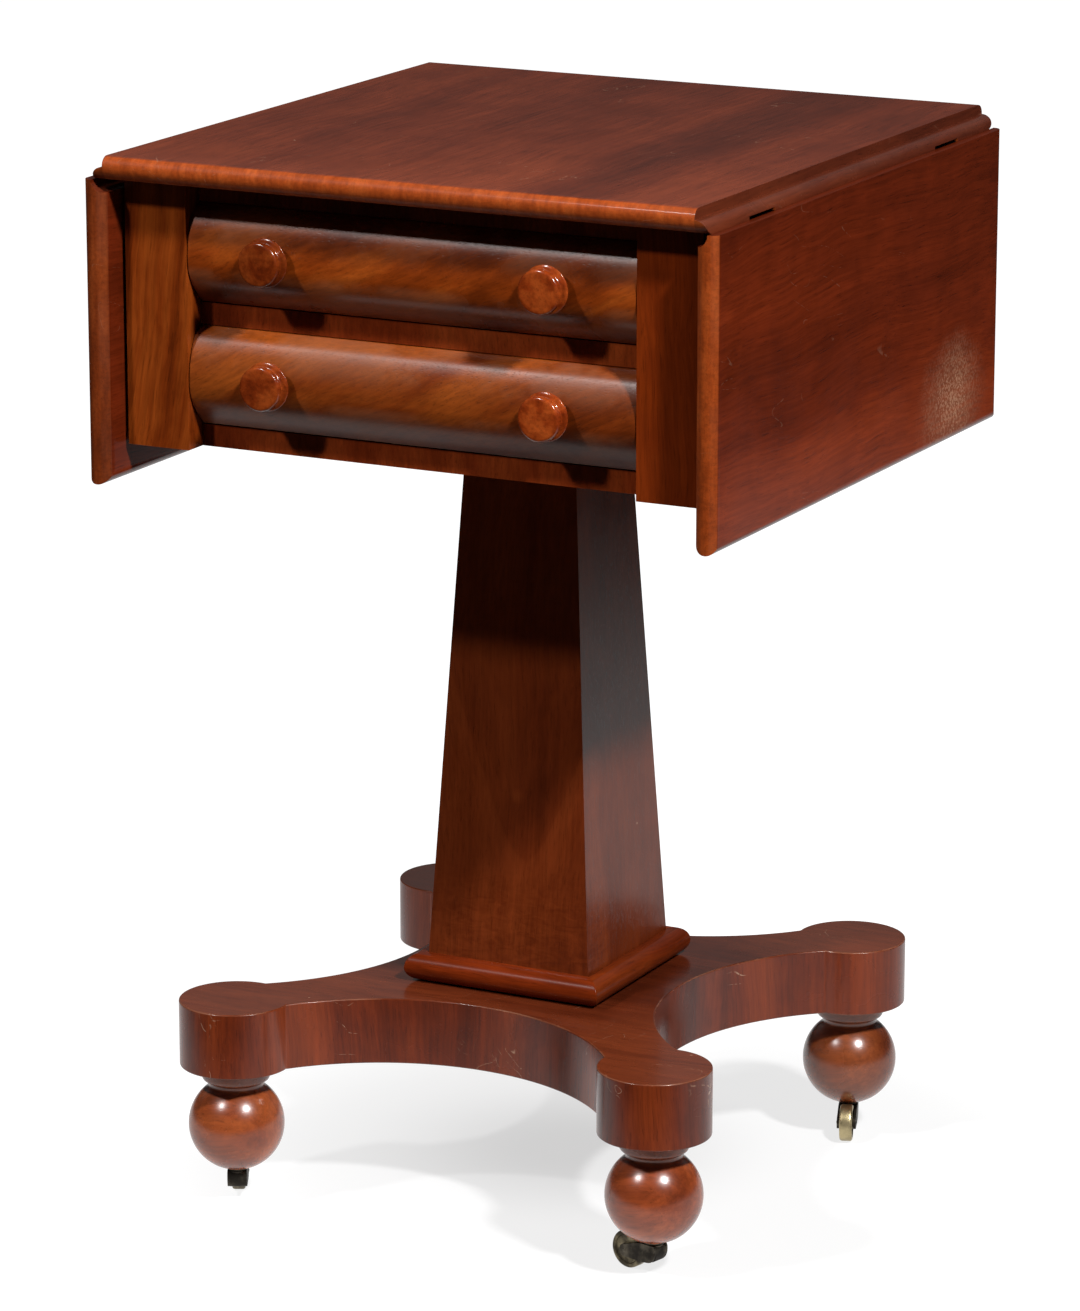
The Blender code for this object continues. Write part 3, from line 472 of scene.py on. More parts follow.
def sweep(s, bent, drift):
    """Long sloping figure of the drawer fronts."""
    wide = s.noise(s.vec("MULTIPLY", bent, (0.30, 0.3, 1.0)), 19.0, 3.0, 0.55, 0.8)
    return s.math("MULTIPLY", s.math("SUBTRACT", wide, 0.5), 0.55)


def outward(s, bent, drift):
    """Upper face of the platform, lighter out along its arms."""
    away = s.vec("DISTANCE", s.place, (0.0, COLUMN_Y, PLATFORM_TOP))
    return s.step(away, 0.10, 0.19, -0.03, 0.10)


def across(s, bent, drift):
    """Sides of the platform, lighter on the left than on the right."""
    return s.step(s.split(s.place)[0], -0.18, 0.18, 0.035, -0.030)


def warm(s, bent, drift):
    """Top board, redder towards the front."""
    return s.step(s.split(s.place)[1], -0.02, -0.22, 0.0, 0.06)


def painted_floor_bounce(s, bent, drift):
    """Leaf, darker across the middle, and lighter towards its free edge: painted light from the floor below,
    partly the wood's own figure.
    """
    level = s.split(s.place)[2]
    return s.math("ADD", s.step(level, 0.72, 0.64, -0.06, -0.04), s.step(level, 0.62, 0.53, 0.0, 0.17))


def deeper(tones, share):
    return tuple(tuple(v * share for v in tone) for tone in tones)


END = ((0.235, 0.036, 0.005), (0.335, 0.056, 0.008), (0.420, 0.082, 0.014))
# End grain of the left leaf, darkened as painted shade
PAINTED_SHADE_END = ((0.095, 0.0145, 0.002), (0.155, 0.025, 0.0036), (0.215, 0.040, 0.007))
TOP = ((0.062, 0.0115, 0.0055), (0.122, 0.0215, 0.0085), (0.195, 0.0370, 0.0130))
LEAF = ((0.062, 0.0076, 0.0019), (0.132, 0.0164, 0.0037), (0.235, 0.0330, 0.0070))
CASE = ((0.066, 0.0092, 0.0012), (0.160, 0.0250, 0.0027), (0.258, 0.0500, 0.0060))
RAIL = ((0.080, 0.0100, 0.0020), (0.160, 0.0220, 0.0042), (0.260, 0.0450, 0.0085))
DARK = ((0.062, 0.0080, 0.0012), (0.150, 0.0195, 0.0022), (0.245, 0.0370, 0.0040))
FRONT = ((0.050, 0.0066, 0.0008), (0.190, 0.0305, 0.0028), (0.335, 0.0720, 0.0085))
COLUMN = ((0.040, 0.0062, 0.0016), (0.110, 0.0176, 0.0039), (0.190, 0.0350, 0.0076))
BASE = ((0.055, 0.0074, 0.0015), (0.116, 0.0158, 0.0028), (0.190, 0.0305, 0.0060))
STEP = ((0.046, 0.0074, 0.0024), (0.089, 0.0150, 0.0045), (0.140, 0.0270, 0.0080))
BALL = ((0.075, 0.0120, 0.0033), (0.180, 0.0340, 0.0078), (0.310, 0.0720, 0.0180))
BEAD = ((0.080, 0.0095, 0.0018), (0.170, 0.0215, 0.0032), (0.300, 0.0500, 0.0070))
KNOB = ((0.074, 0.0090, 0.0016), (0.170, 0.0228, 0.0032), (0.300, 0.0540, 0.0085))
POPLAR = ((0.190, 0.105, 0.045), (0.330, 0.200, 0.095), (0.460, 0.310, 0.165))

TOP_WOOD = wood("top_grain", "Y", TOP, ends=END, streak=22.0, specks=0.8, scratches=0.25, rough=0.26,
                flame=warm, spec=0.12, edge=0.08, joint=AXIS_X - 0.0006)
LEAF_WOOD = {"left": wood("left_leaf_grain", "Y", LEAF, 2.3, ends=PAINTED_SHADE_END, streak=20.0, specks=0.6,
                          scratches=0.2, spec=0.12, edge=0.08),
             "right": wood("right_leaf_grain", "Y", LEAF, 5.1, ends=deeper(END, 0.82), streak=14.0,
                           # painted floor bounce lightens the right leaf towards its free edge
                           specks=0.6, scratches=0.14, flame=painted_floor_bounce, stretch=0.045, spec=0.12, edge=0.08,
                           # painted reflection low at the back of the right leaf
                           rough=0.18, coat=0.0, glint_spot=((0.232, 0.150, 0.545), (4.0, 14.0, 17.0), 0.60))}
STILE_WOOD = {"left": wood("left_stile_grain", "Z", CASE, 1.7, tilt=-8.0, streak=62.0, spread=(0.41, 0.61)),
              "right": wood("right_stile_grain", "Z", DARK, 3.9, tilt=4.0, streak=30.0, spread=(0.24, 0.80))}
RAIL_WOOD = wood("rail_grain", "Z", RAIL, 4.4, streak=34.0, spread=(0.30, 0.74), stretch=0.3)
SIDE_WOOD = wood("case_side_grain", "Y", CASE, 6.2, streak=30.0, rough=0.42, coat=0.1)
BACK_WOOD = wood("case_back_grain", "X", DARK, 7.7, streak=30.0, rough=0.46, coat=0.05)
UNDER_WOOD = wood("case_bottom_grain", "X", POPLAR, 9.1, streak=30.0, rough=0.60, coat=0.0, edge=0.2)
FRONT_WOOD = {name: wood(name + "_front_figure", "X", deeper(FRONT, share), shift, tilt=tilt, streak=36.0,
                         stretch=0.24, flame=sweep, spread=spread, chips=(low, 0.9), edge=0.25, rough=rough,
                         coat=0.0, peel=0.8, spec=0.27)
              for name, share, shift, tilt, spread, low, rough in (
                  # Painted light: the upper front is made lighter, standing in for less shade from the top's
                  # overhang
                  ("upper", 1.10, 2.9, 24.0, (0.26, 0.76), 0.6401, 0.28),
                  ("lower", 0.78, 8.3, 26.0, (0.22, 0.72), 0.5572, 0.35))}
KNOB_WOOD = {name: wood("knob_grain_" + name, "Y", deeper(KNOB, share), shift, streak=120.0, rough=0.19,
                        coat=0.15, edge=0.0, specks=0.5, spec=0.42)
             for name, share, shift in (("upper_left", 0.72, 3.1), ("upper_right", 1.16, 5.7),
                                        ("lower_left", 1.0, 8.2), ("lower_right", 1.30, 6.4))}
COLUMN_WOOD = wood("column_grain", "Z", COLUMN, 4.9, streak=30.0, flame=crotch, spread=(0.22, 0.78),
                   specks=0.6, edge=0.35, rough=0.22, stretch=0.11, lining=0.7, peel=0.8)
BEAD_WOOD = (wood("front_bead_grain", "X", BEAD, 1.3, streak=40.0, edge=0.0, coat=0.0, spec=0.09),
             wood("side_bead_grain", "Y", deeper(BEAD, 0.62), 2.6, streak=40.0, edge=0.0, coat=0.0,
                  spec=0.14))
PLATFORM_WOOD = (wood("platform_top_grain", "X", STEP, 5.7, streak=40.0, chips=(0.2, 0.3), specks=0.5,
                      scratches=0.3, edge=0.6, rough=0.27, coat=0.22, flame=outward),
                 wood("platform_side_grain", "Z", BASE, 6.6, streak=38.0, spread=(0.36, 0.64), specks=0.4,
                      scratches=0.8, flame=across, chips=(PLATFORM_FOOT, PLATFORM_TOP), edge=0.6, rough=0.26,
                      coat=0.0, spec=0.40))
FOOT_WOOD = {name: wood("foot_grain_" + name, "X", deeper(BALL, share), shift, tilt=7.0, streak=46.0,
                        specks=0.9, edge=0.0, rough=0.26, coat=0.0, spec=0.70)
             for name, share, shift in (("front_left", 1.16, 7.4), ("front_right", 1.36, 3.6),
                                        ("back_left", 0.80, 5.2), ("back_right", 0.66, 9.5))}
LINING_WOOD = wood("lining_grain", "Y", POPLAR, 1.1, streak=40.0, rough=0.58, coat=0.0, edge=0.15)
LINING_CROSS = wood("lining_cross_grain", "X", POPLAR, 2.2, streak=40.0, rough=0.58, coat=0.0, edge=0.15)
BRASS = metal("bright_brass", (0.47, 0.385, 0.215), (0.20, 0.160, 0.095), (0.28, 0.60), 0.30)
DULL_BRASS = metal("dull_brass", (0.25, 0.205, 0.125), (0.062, 0.052, 0.037), (0.38, 0.66), 0.36)
DARK_BRASS = metal("dark_brass", (0.115, 0.098, 0.072), (0.034, 0.029, 0.024), (0.40, 0.70), 0.36)
BRONZE = metal("hinge_bronze_worn", (0.30, 0.215, 0.115), (0.070, 0.052, 0.034), (0.40, 0.66), 0.38)


# Top and leaves with their rule joints
def nosed(half, low, high):
    """Outline of a board from edge to edge, with a rounded nose at both ends."""
    right = arc((half - NOSE_UPPER, high - NOSE_UPPER), NOSE_UPPER, 90, 0, 12)
    right += arc((half - NOSE_LOWER, low + NOSE_LOWER), NOSE_LOWER, 0, -90, 14)
    return right + [(-u, v) for u, v in reversed(right)]


def top():
    side = [(AXIS_X, HEIGHT)] + arc((AXIS_X, AXIS_Z), OVOLO, 90, 0, 16)
    side.append((AXIS_X + OVOLO, UNDER))
    section = side + [(-x, z) for x, z in reversed(side)]
    board = prism("polished_top", section, "Y", -HALF_DEPTH - LONGER, HALF_DEPTH + LONGER)
    noses = prism("noses", nosed(HALF_DEPTH, UNDER, HEIGHT), "X", -SPAN, SPAN)
    carve(board, [noses], "INTERSECT")
    room, depth = KNUCKLE + SLIDE_GAP, PLATE + SLIDE_GAP
    half = math.degrees(math.asin((UNDER + depth - AXIS_Z) / room))
    inner, outer = AXIS_X - HINGE_TOP - SLIDE_GAP, AXIS_X + OVOLO + PAST
    low, high = UNDER - PAST, UNDER + depth
    recess = [(inner, low), (inner, high)] + arc((AXIS_X, AXIS_Z), room, 180 - half, half, 12)
    recess += [(outer, high), (outer, low)]
    wide = HINGE_WIDTH / 2 + SLIDE_GAP
    tools = []
    for sx in (-1, 1):
        for y in (-HINGE_SPREAD, HINGE_SPREAD):
            tools.append(prism("recess", [(sx * x, z) for x, z in recess], "Y", y - wide, y + wide))
    carve(board, tools)
    piece(soften(board, 0.0006), "frame", "top_mahogany", TOP_WOOD, "table_top")


def leaf(sx, hand):
    cove = OVOLO + JOINT_GAP
    end = -math.degrees(math.asin(JOINT_GAP / cove))
    section = [(LEAF_OUT, -JOINT_GAP)]
    section += arc((LEAF_OUT - NOSE_UPPER, NOSE_UPPER - LEAF_WIDTH), NOSE_UPPER, 0, -90, 12)
    section += arc((LEAF_IN + NOSE_LOWER, NOSE_LOWER - LEAF_WIDTH), NOSE_LOWER, -90, -180, 14)
    section += [(LEAF_IN, -cove)] + arc((0, 0), cove, -90, end, 16)
    section = [(sx * (AXIS_X + x), AXIS_Z + z) for x, z in section]
    board = prism("polished_leaf_" + hand, section, "Y", -HALF_DEPTH - LONGER, HALF_DEPTH + LONGER)
    noses = [(sx * (AXIS_X + v), u) for u, v in nosed(HALF_DEPTH, LEAF_IN, LEAF_OUT)]
    carve(board, [prism("noses", noses, "Z", AXIS_Z - LEAF_WIDTH - LONGER, AXIS_Z + LONGER)], "INTERSECT")
    left, right = sorted((sx * (AXIS_X + LEAF_IN - PAST), sx * (AXIS_X + LEAF_IN + PLATE + GAP)))
    low, high = AXIS_Z - HINGE_LEAF - SLIDE_GAP, AXIS_Z - JOINT_GAP * 2
    recess = [(left, low), (right, low), (right, high), (left, high)]
    wide = HINGE_WIDTH / 2 + SLIDE_GAP
    tools = [prism("recess", recess, "Y", y - wide, y + wide) for y in (-HINGE_SPREAD, HINGE_SPREAD)]
    carve(board, tools)
    piece(soften(board, 0.0006), "leaf_" + hand, "top_mahogany", LEAF_WOOD[hand], "leaf_" + hand)


# Countersunk screws of the hinge flaps, one piece for each flap
def screws(sx, hand, sy, end):
    head = [(0.0, 0.00022), (0.0004, 0.00022), (0.0004, -0.0001), (0.0006, 0.00022), (0.0018, 0.00012),
            (0.0022, -0.00005), (0.0014, -0.0009), (0.0, -0.0009)]
    y = sy * HINGE_SPREAD
    down = Matrix.Rotation(math.pi, 4, "X")
    bm = bmesh.new()
    for dx, dy in ((-0.0075, -0.0115), (-0.0075, 0.0115), (-0.0195, 0.0)):
        spot = Matrix.Translation((sx * (AXIS_X + dx), y + dy, UNDER + 0.00005))
        add_turning(bm, head, 20, spot @ down)
    piece(from_bmesh("screws_%s_%s_top" % (hand, end), bm), "frame", "hinge_bronze", BRONZE)
    inward = Matrix.Rotation(-sx * math.pi / 2, 4, "Y")
    bm = bmesh.new()
    for dz, dy in ((-0.012, -0.0115), (-0.012, 0.0115), (-0.035, -0.0085), (-0.035, 0.0085)):
        spot = Matrix.Translation((sx * (AXIS_X + LEAF_IN), y + dy, AXIS_Z + dz))
        add_turning(bm, head, 20, spot @ inward)
    piece(from_bmesh("screws_%s_%s_leaf" % (hand, end), bm), "leaf_" + hand, "hinge_bronze", BRONZE)


# Drawer fronts, knobs and the tails of the drawer sides
def rounded_front(level):
    low = DRAWER_BASE[level] + SLIDE_GAP
    tall = OPENING - SLIDE_GAP * 2
    depth = CREST_Y - RAIL_Y
    section = [(RAIL_Y + DRAWER_FRONT, low)]
    section += [(RAIL_Y + depth * min(1.0, out), low + tall * up) for up, out in flowing(SWELL, 8)]
    section.append((RAIL_Y + DRAWER_FRONT, low + tall))
    half = STILE_X - SLIDE_GAP
    front = soften(prism("rounded_front_" + level, section, "X", -half, half), 0.0008, 3, 40)
    piece(front, "drawer_" + level, "figured_mahogany", FRONT_WOOD[level], "drawer_%s_front" % level)


def knobs(level):
    face, hollow, back = (flowing([(KNOB_RADIUS * share, KNOB_STAND - behind) for share, behind in part], 5)
                          for part in (KNOB_FACE, KNOB_HOLLOW, KNOB_BACK))
    peg = KNOB_RADIUS * KNOB_PEG
    profile = face[:-1] + hollow + back[1:] + [(peg, GAP), (peg, -KNOB_STAND * 0.7), (0.0, -KNOB_STAND * 0.7)]
    z = DRAWER_BASE[level] + OPENING / 2 + KNOB_RAISE
    for sx, hand in HANDS:
        name = "%s_%s" % (level, hand)
        place = Matrix.Translation((sx * KNOB_SPREAD, CREST_Y, z)) @ ON_SIDE
        knob = turning("turned_knob_" + name, profile, 64, place)
        piece(knob, "drawer_" + level, "figured_mahogany", KNOB_WOOD[name], "knob_" + name)


def tails(level):
    half = STILE_X - SLIDE_GAP
    shoulder, tip = RAIL_Y + 0.0158, RAIL_Y + 0.0035
    for sx, hand in HANDS:
        bm = bmesh.new()
        for up in (0.013, 0.034, 0.052):
            z = DRAWER_BASE[level] + up
            tail = [(shoulder, z - 0.0052), (shoulder, z + 0.0052), (tip, z + 0.0078), (tip, z - 0.0078)]
            add_prism(bm, tail, "X", *sorted((sx * (half - 0.0004), sx * (half + 0.00012))))
        piece(from_bmesh("tails_%s_%s" % (level, hand), bm), "drawer_" + level, "drawer_lining", LINING_WOOD)


# Half-round moulding about the foot of the column, mitred at the corners
def moulding():
    nose = MOULDING_HEIGHT / 2
    middle = COLUMN_FOOT_Z + nose
    slope = (COLUMN_FOOT - COLUMN_TOP) / 2 / (COLUMN_TOP_Z - COLUMN_FOOT_Z)
    inner = COLUMN_FOOT / 2 + GAP
    ring = [(inner - slope * MOULDING_HEIGHT, middle + nose)]
    ring += arc((MOULDING_WIDTH / 2 - nose, middle), nose, 90, -90, 24) + [(inner, middle - nose)]
    bm = bmesh.new()
    around = ((-1, -1), (1, -1), (1, 1), (-1, 1))
    corners = [[bm.verts.new((sx * d, COLUMN_Y + sy * d, z)) for sx, sy in around] for d, z in ring]
    for a, b in zip(corners, corners[1:] + corners[:1]):
        for i in range(4):
            j = (i + 1) % 4
            bm.faces.new((a[i], a[j], b[j], b[i])).material_index = i % 2
    beads = soften(from_bmesh("mitred_moulding", bm))
    piece(beads, "frame", "figured_mahogany", BEAD_WOOD, "column_moulding")


# Platform with four lobes, its sides veneered with upright grain
def platform():
    turn = 3.5                  # angle on a lobe at which the hollow side meets it, past square
    corner = (LOBE_SPREAD - LOBE_RADIUS * math.cos(math.radians(turn)),
              -LOBE_SPREAD + LOBE_RADIUS * math.sin(math.radians(turn)))
    sag = -corner[1] - HOLLOW
    radius = (corner[0] ** 2 + sag ** 2) / (2 * sag)
    spread = math.degrees(math.asin(corner[0] / radius))
    quarter = arc((0, -HOLLOW - radius), radius, 90 + spread, 90 - spread, 40)
    quarter += arc((LOBE_SPREAD, -LOBE_SPREAD), LOBE_RADIUS, 180 - turn, 450 + turn, 72)[1:-1]
    points = []
    for c, s in ((1, 0), (0, 1), (-1, 0), (0, -1)):
        points += [(c * x - s * y, s * x + c * y + COLUMN_Y) for x, y in quarter]
    board = prism("lobed_platform", points, "Z", PLATFORM_FOOT, PLATFORM_TOP)
    for face in board.data.polygons:
        face.material_index = 0 if abs(face.normal.z) > 0.7 else 1
    piece(soften(board, 0.0010, 3, 30), "frame", "base_mahogany", PLATFORM_WOOD, "platform")


# Ball feet
def foot(name, x, y):
    top_z = PLATFORM_FOOT - GAP
    high = PLATFORM_FOOT + 0.0257
    profile = [(0.0, high), (DOWEL, high), (DOWEL, top_z), (COLLAR - 0.0006, top_z), (COLLAR, top_z - 0.0006)]

    def below(share):
        return top_z - COLLAR_HEIGHT * share

    profile += flowing([(COLLAR, below(0.44)), (COLLAR * 0.993, below(0.54)), (COLLAR * 0.965, below(0.615)),
                        (COLLAR * 0.915, below(0.66)), (NECK * 1.01, below(0.695))], 5)
    profile += flowing([(NECK * 0.97, below(0.73)), (NECK * 0.95, below(0.82)), (NECK * 0.96, below(0.91)),
                        (NECK * 0.995, NECK_Z + 0.0002)], 4)
    start = math.degrees(math.asin((NECK_Z - BALL_Z) / BALL_RADIUS))
    end = -math.degrees(math.asin((BALL_Z - CASTER) / BALL_RADIUS))
    profile += arc((0, BALL_Z), BALL_RADIUS, start, end, 44)
    bore, deep = SLEEVE + GAP, CASTER + BALL_RADIUS * 0.65
    profile += [(bore, CASTER), (bore, deep), (0.0, deep)]
    ball = turning("ball_foot_" + name, profile, 88, Matrix.Translation((x, y, 0)))
    ball.data.set_sharp_from_angle(angle=math.radians(38))
    piece(ball, "frame", "base_mahogany", FOOT_WOOD[name], "foot_" + name)


# Casters: a sleeve let into the ball, a yoke that swivels in it and a wheel
def sleeve(name, x, y):
    deep, rim, foot_z = CASTER + BALL_RADIUS * 0.62, BALL_FLAT * 0.81, FLANGE - FLANGE_PLATE
    profile = [(STEM, deep), (SLEEVE, deep), (SLEEVE, FLANGE), (rim - 0.0003, FLANGE), (rim, FLANGE - 0.0004),
               (rim - 0.0001, FLANGE - 0.0009), (rim - 0.0006, foot_z), (STEM, foot_z)]
    socket = turning("sleeve_" + name, profile, 36, Matrix.Translation((x, y, 0)), closed=True)
    socket.data.set_sharp_from_angle(angle=math.radians(38))
    piece(socket, "frame", "caster_brass", DARK_BRASS, "caster_socket_" + name)


def yoke(name, spot):
    crown = FLANGE - FLANGE_PLATE - JOINT_GAP - WHEEL_RADIUS
    pin, pin_top = STEM - 0.0003, CASTER + BALL_RADIUS * 0.55 - WHEEL_RADIUS
    inner = WHEEL_WIDTH / 2 + JOINT_GAP
    outer = inner + WHEEL_RADIUS * 0.144
    near = TRAIL - WHEEL_RADIUS - JOINT_GAP * 2
    eye = WHEEL_RADIUS * 0.34
    axle_end = Matrix.Translation((TRAIL, 0, 0))
    bm = bmesh.new()
    add_turning(bm, [(0.0, pin_top), (pin, pin_top), (pin, crown), (0.0050, crown), (0.0064, crown - 0.0005),
                     (0.0067, crown - 0.0012), (0.0064, crown - 0.0020), (0.0054, crown - 0.0028),
                     (0.0, crown - 0.0028)], 32)
    bridge = flowing([(-near + 0.0010, crown - 0.0012), (-near, crown * 0.62), (-near - 0.0001, crown * 0.2),
                      (-near * 0.75, -eye * 0.55), (-near * 0.2, -eye * 0.85), (near * 0.55, -eye * 0.70),
                      (near * 0.92, -eye * 0.1), (near * 0.80, crown * 0.35), (near * 0.78, crown * 0.75),
                      (near * 0.95, crown - 0.0012)], 4)
    add_prism(bm, bridge, "Y", -inner, inner)
    cheek = flowing([(-near + 0.0008, crown - 0.0010), (-near - 0.0002, crown * 0.6),
                     (-near * 0.95, crown * 0.1), (-near * 0.5, -eye * 0.72), (near * 0.5, -eye),
                     (TRAIL * 0.62, -eye)], 5)
    cheek += arc((TRAIL, 0), eye, -92, 92, 18)
    cheek += flowing([(TRAIL * 0.78, eye * 1.25), (TRAIL * 0.55, crown * 0.78),
                      (near * 0.9, crown - 0.0010)], 4)
    rivet = [(0.0, 0.0007), (0.0007, 0.00062), (0.0013, 0.0004), (0.0017, 0.0), (0.0, -0.0002)]
    for out in (-1, 1):
        add_prism(bm, cheek, "Y", *sorted((out * inner, out * outer)))
        facing = Matrix.Rotation(-out * math.pi / 2, 4, "X")
        add_turning(bm, rivet, 16, Matrix.Translation((TRAIL, out * (outer - 0.0002), 0)) @ facing)
    add_turning(bm, [(0.0, inner), (AXLE, inner), (AXLE, -inner), (0.0, -inner)], 16, axle_end @ ON_SIDE)
    bmesh.ops.transform(bm, matrix=spot, verts=bm.verts)
    horn = soften(from_bmesh("horn_" + name, bm), 0.0003, 2, 40)
    piece(horn, "caster_" + name, "caster_brass", DARK_BRASS, "caster_yoke_" + name)


def wheel(name, spot):
    half, r = WHEEL_WIDTH / 2, WHEEL_RADIUS
    side = [(AXLE + RUN_GAP, half), (r * 0.30, half), (r * 0.34, half - 0.0004), (r * 0.36, half - 0.0012),
            (r * 0.74, half - 0.0012), (r * 0.77, half - 0.0004), (r * 0.80, half), (r * 0.90, half),
            (r * 0.96, half - 0.0004), (r * 0.99, half - 0.0010), (r, half - 0.0020)]
    place = spot @ Matrix.Translation((TRAIL, 0, 0)) @ ON_SIDE
    roller = turning("roller_" + name, side + [(q, -h) for q, h in reversed(side)], 56, place, closed=True)
    roller.data.set_sharp_from_angle(angle=math.radians(40))
    finish = BRASS if name == "back_right" else DULL_BRASS
    piece(roller, "wheel_" + name, "caster_brass", finish, "caster_wheel_" + name)


# Frame pieces that keep their shape take a finish and softer edges
def carried(name, finish, width=0.0005):
    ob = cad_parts[name]
    for slot in ob.material_slots:
        slot.link = "OBJECT"
        slot.material = finish
    if width:
        soften(ob, width, 2, 40, harden=False)


def keep_frame_pieces():
    for sx, hand in HANDS:
        carried("stile_" + hand, STILE_WOOD[hand])
        carried("case_side_" + hand, SIDE_WOOD)
        carried("leaf_support_" + hand, SIDE_WOOD)
        carried("upper_runner_" + hand, LINING_WOOD)
        carried("lower_guide_" + hand, LINING_WOOD)
        for sy, end in ENDS:
            carried("hinge_%s_%s_top_flap" % (hand, end), BRONZE, 0)
            carried("hinge_%s_%s_leaf_flap" % (hand, end), BRONZE, 0)
    for level in ("top", "middle", "bottom"):
        carried("rail_" + level, RAIL_WOOD)
    carried("case_back", BACK_WOOD)
    carried("case_bottom", UNDER_WOOD)
    carried("column", COLUMN_WOOD, 0.0009)
    for level in ("upper", "lower"):
        for part in ("side_left", "side_right"):
            carried("drawer_%s_%s" % (level, part), LINING_WOOD)
        for part in ("back", "bottom"):
            carried("drawer_%s_%s" % (level, part), LINING_CROSS, 0)


# Floor: plain and dim to light, with painted pools of light that only reflections see,
# white to the camera away from the table, with a painted shadow under the table
def ground():
    bm = bmesh.new()
    bmesh.ops.create_grid(bm, x_segments=8, y_segments=8, size=45.0)
    floor = from_bmesh("floor", bm)
    mat = bpy.data.materials.new("pale_floor")
    mat.use_nodes = True
    mat.node_tree.nodes.clear()
    n = Nodes(mat.node_tree)
    at = n.node("ShaderNodeNewGeometry").outputs["Position"]
    path = n.node("ShaderNodeLightPath").outputs

    def falloff(centre, near, far, start, end, spot=at):
        """Value that runs from start to end with the distance from a point on the floor."""
        return n.step(n.vec("DISTANCE", spot, (*centre, 0.0)), near, far, start, end)

    def largest(*values):
        most = values[0]
        for value in values[1:]:
            most = n.math("MAXIMUM", most, value)
        return most

    def shader(kind, socket, value):
        made = n.node(kind)
        n.feed(made.inputs[socket], value)
        return made.outputs[0]

    def choose(factor, a, b):
        made = n.node("ShaderNodeMixShader")
        for socket, value in zip(made.inputs, (factor, a, b)):
            n.feed(socket, value)
        return made.outputs[0]

    corner = n.vec("ABSOLUTE", n.vec("SUBTRACT", at, (0.0, COLUMN_Y, 0.0)), (0.0, 0.0, 0.0))
    bounce = largest(falloff((0.0, 0.0), 0.26, 0.55, 0.32, 0.04),
                     falloff((0.95, 0.35), 0.45, 1.0, 0.35, 0.0),
                     falloff((LOBE_SPREAD, LOBE_SPREAD), 0.07, 0.20, 1.0, 0.0, corner))
    plain = shader("ShaderNodeBsdfDiffuse", "Color", bounce)

    # Painted pools of light, which glow only in reflections and fade out towards the front
    painted_pools = largest(falloff((0.2, 0.75), 0.70, 1.75, 0.80, 0.02),
                    falloff((-0.15, -0.02), 0.46, 0.60, 1.0, 0.0),
                    falloff((0.33, 0.40), 0.22, 0.42, 1.0, 0.0),
                    falloff((0.62, 0.05), 0.25, 0.50, 1.0, 0.0))
    lit = n.step(n.split(at)[1], -0.55, -0.35, 0.05, 1.0)
    mirrored = shader("ShaderNodeEmission", "Strength", n.math("MULTIPLY", painted_pools, lit))

    # Painted shadow: the glow the camera sees dips under the table
    painted_shadow = falloff((0.0, 0.03), 0.02, 0.17, -0.16, 0.0)
    white = n.math("ADD", painted_shadow, falloff((0.07, 0.03), 0.20, 0.44, 0.78, 1.0))
    seen = n.node("ShaderNodeAddShader")
    n.feed(seen.inputs[0], shader("ShaderNodeBsdfDiffuse", "Color", (0.20, 0.20, 0.20, 1.0)))
    n.feed(seen.inputs[1], shader("ShaderNodeEmission", "Strength", white))

    shiny = n.math("MAXIMUM", path["Is Glossy Ray"], path["Is Transmission Ray"])
    unseen = choose(shiny, plain, mirrored)
    out = n.node("ShaderNodeOutputMaterial")
    n.feed(out.inputs[0], choose(path["Is Camera Ray"], unseen, seen.outputs[0]))
    floor.data.materials.append(mat)


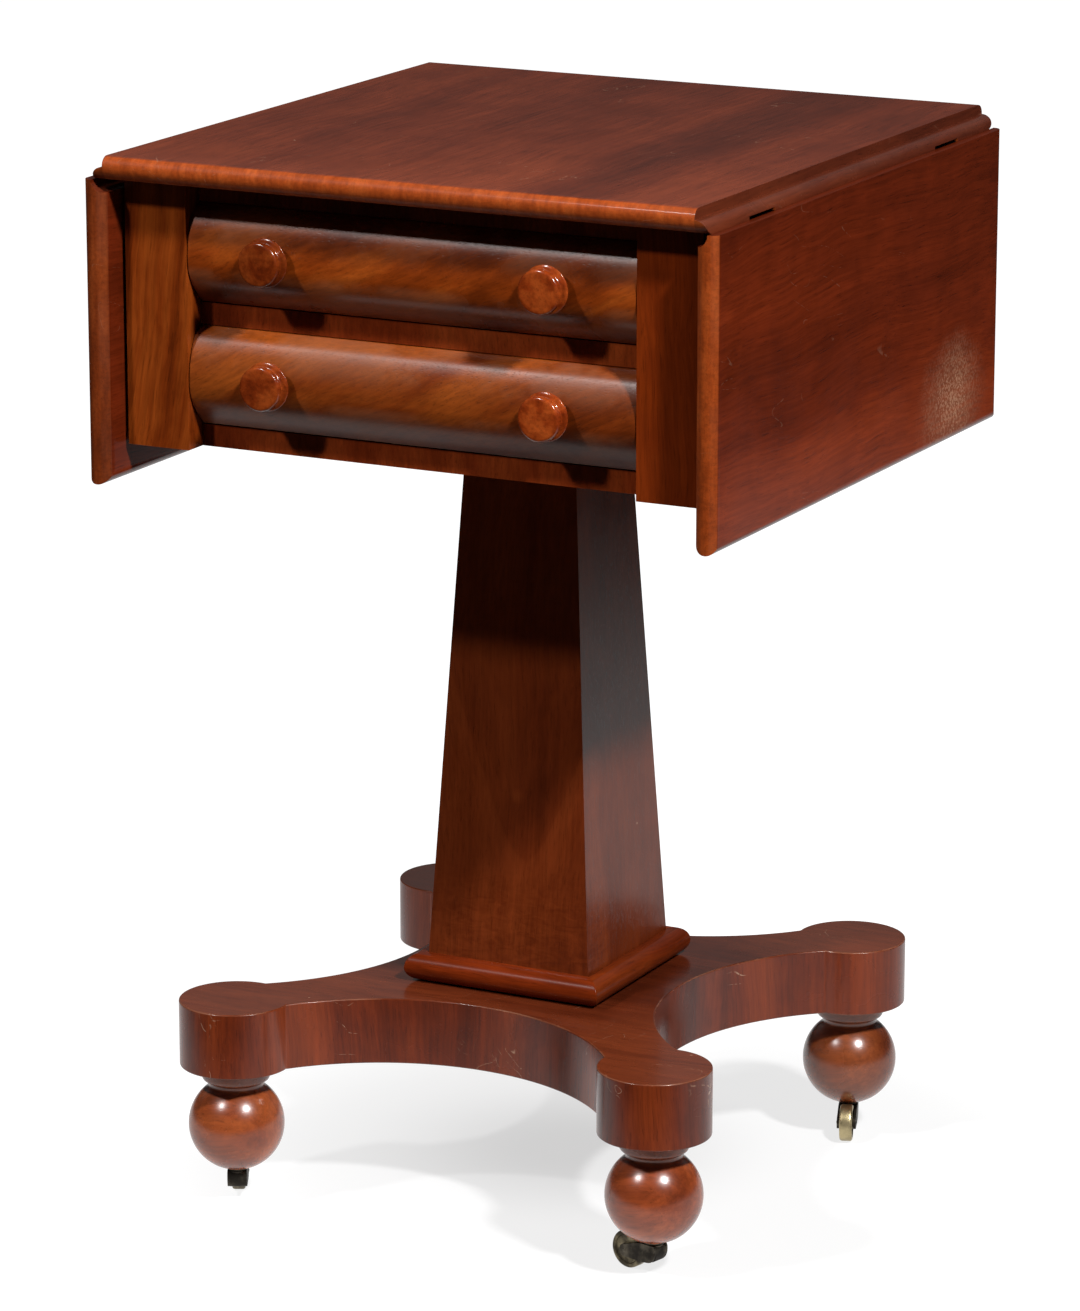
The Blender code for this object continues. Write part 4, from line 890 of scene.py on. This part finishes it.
# World: dim, darker overhead, with a faint panel behind the table to its left
def surroundings():
    world = bpy.data.worlds.new("studio")
    bpy.context.scene.world = world
    world.use_nodes = True
    n = Nodes(world.node_tree)
    toward = n.node("ShaderNodeTexCoord").outputs["Generated"]
    up = n.split(toward)[2]
    levels = ((0.0, 0.055), (0.07, 0.045), (0.16, 0.035), (0.40, 0.012), (1.0, 0.010))
    shade = n.ramp(up, [(at, (level, level, level)) for at, level in levels])
    panel = n.step(n.vec("DOT_PRODUCT", toward, (-0.45, 0.89, 0.0)), 0.30, 0.85, 0.0, 0.20)
    panel = n.math("MULTIPLY", panel, n.step(up, 0.20, 0.32))
    n.feed(n.tree.nodes["Background"].inputs[0], n.math("ADD", panel, shade))


# Lamps: name, degrees round from the front and up from the floor, watts, width
def lamps():
    aim, reach = Vector((0.0, 0.0, 0.42)), 5.0
    for name, azimuth, elevation, power, size in (("left_lamp", -28, 44.5, 134, 0.33),
                                                  ("right_lamp", 60.5, 44.6, 326, 0.38)):
        a, e = math.radians(azimuth), math.radians(elevation)
        toward = Vector((math.sin(a) * math.cos(e), -math.cos(a) * math.cos(e), math.sin(e)))
        lamp = bpy.data.lights.new(name, "AREA")
        lamp.energy = power
        lamp.size = size
        ob = bpy.data.objects.new(name, lamp)
        ob.location = aim + toward * reach
        ob.rotation_euler = (-toward).to_track_quat("-Z", "Y").to_euler()
        bpy.context.scene.collection.objects.link(ob)


# Camera fitted to the photograph
def view():
    lens = bpy.data.cameras.new("camera")
    lens.lens = 155.65
    lens.sensor_width = 36.0
    lens.clip_end = 200.0
    camera = bpy.data.objects.new("camera", lens)
    camera.location = (1.71646, -3.39674, 1.36565)
    target = Vector((-0.00517, -0.01063, 0.37254))
    camera.rotation_euler = (target - camera.location).to_track_quat("-Z", "Y").to_euler()
    bpy.context.scene.collection.objects.link(camera)
    bpy.context.scene.camera = camera
    bpy.context.scene.view_settings.view_transform = "Standard"


top()
for sx, hand in HANDS:
    leaf(sx, hand)
    for sy, end in ENDS:
        screws(sx, hand, sy, end)
for level in DRAWER_BASE:
    rounded_front(level)
    knobs(level)
    tails(level)
moulding()
platform()
for name, (sx, sy, heading) in FEET.items():
    x, y = sx * LOBE_SPREAD, COLUMN_Y + sy * LOBE_SPREAD
    foot(name, x, y)
    sleeve(name, x, y)
    spot = Matrix.Translation((x, y, WHEEL_RADIUS)) @ Matrix.Rotation(math.radians(heading), 4, "Z")
    yoke(name, spot)
    wheel(name, spot)
keep_frame_pieces()
ground()
surroundings()
lamps()
view()
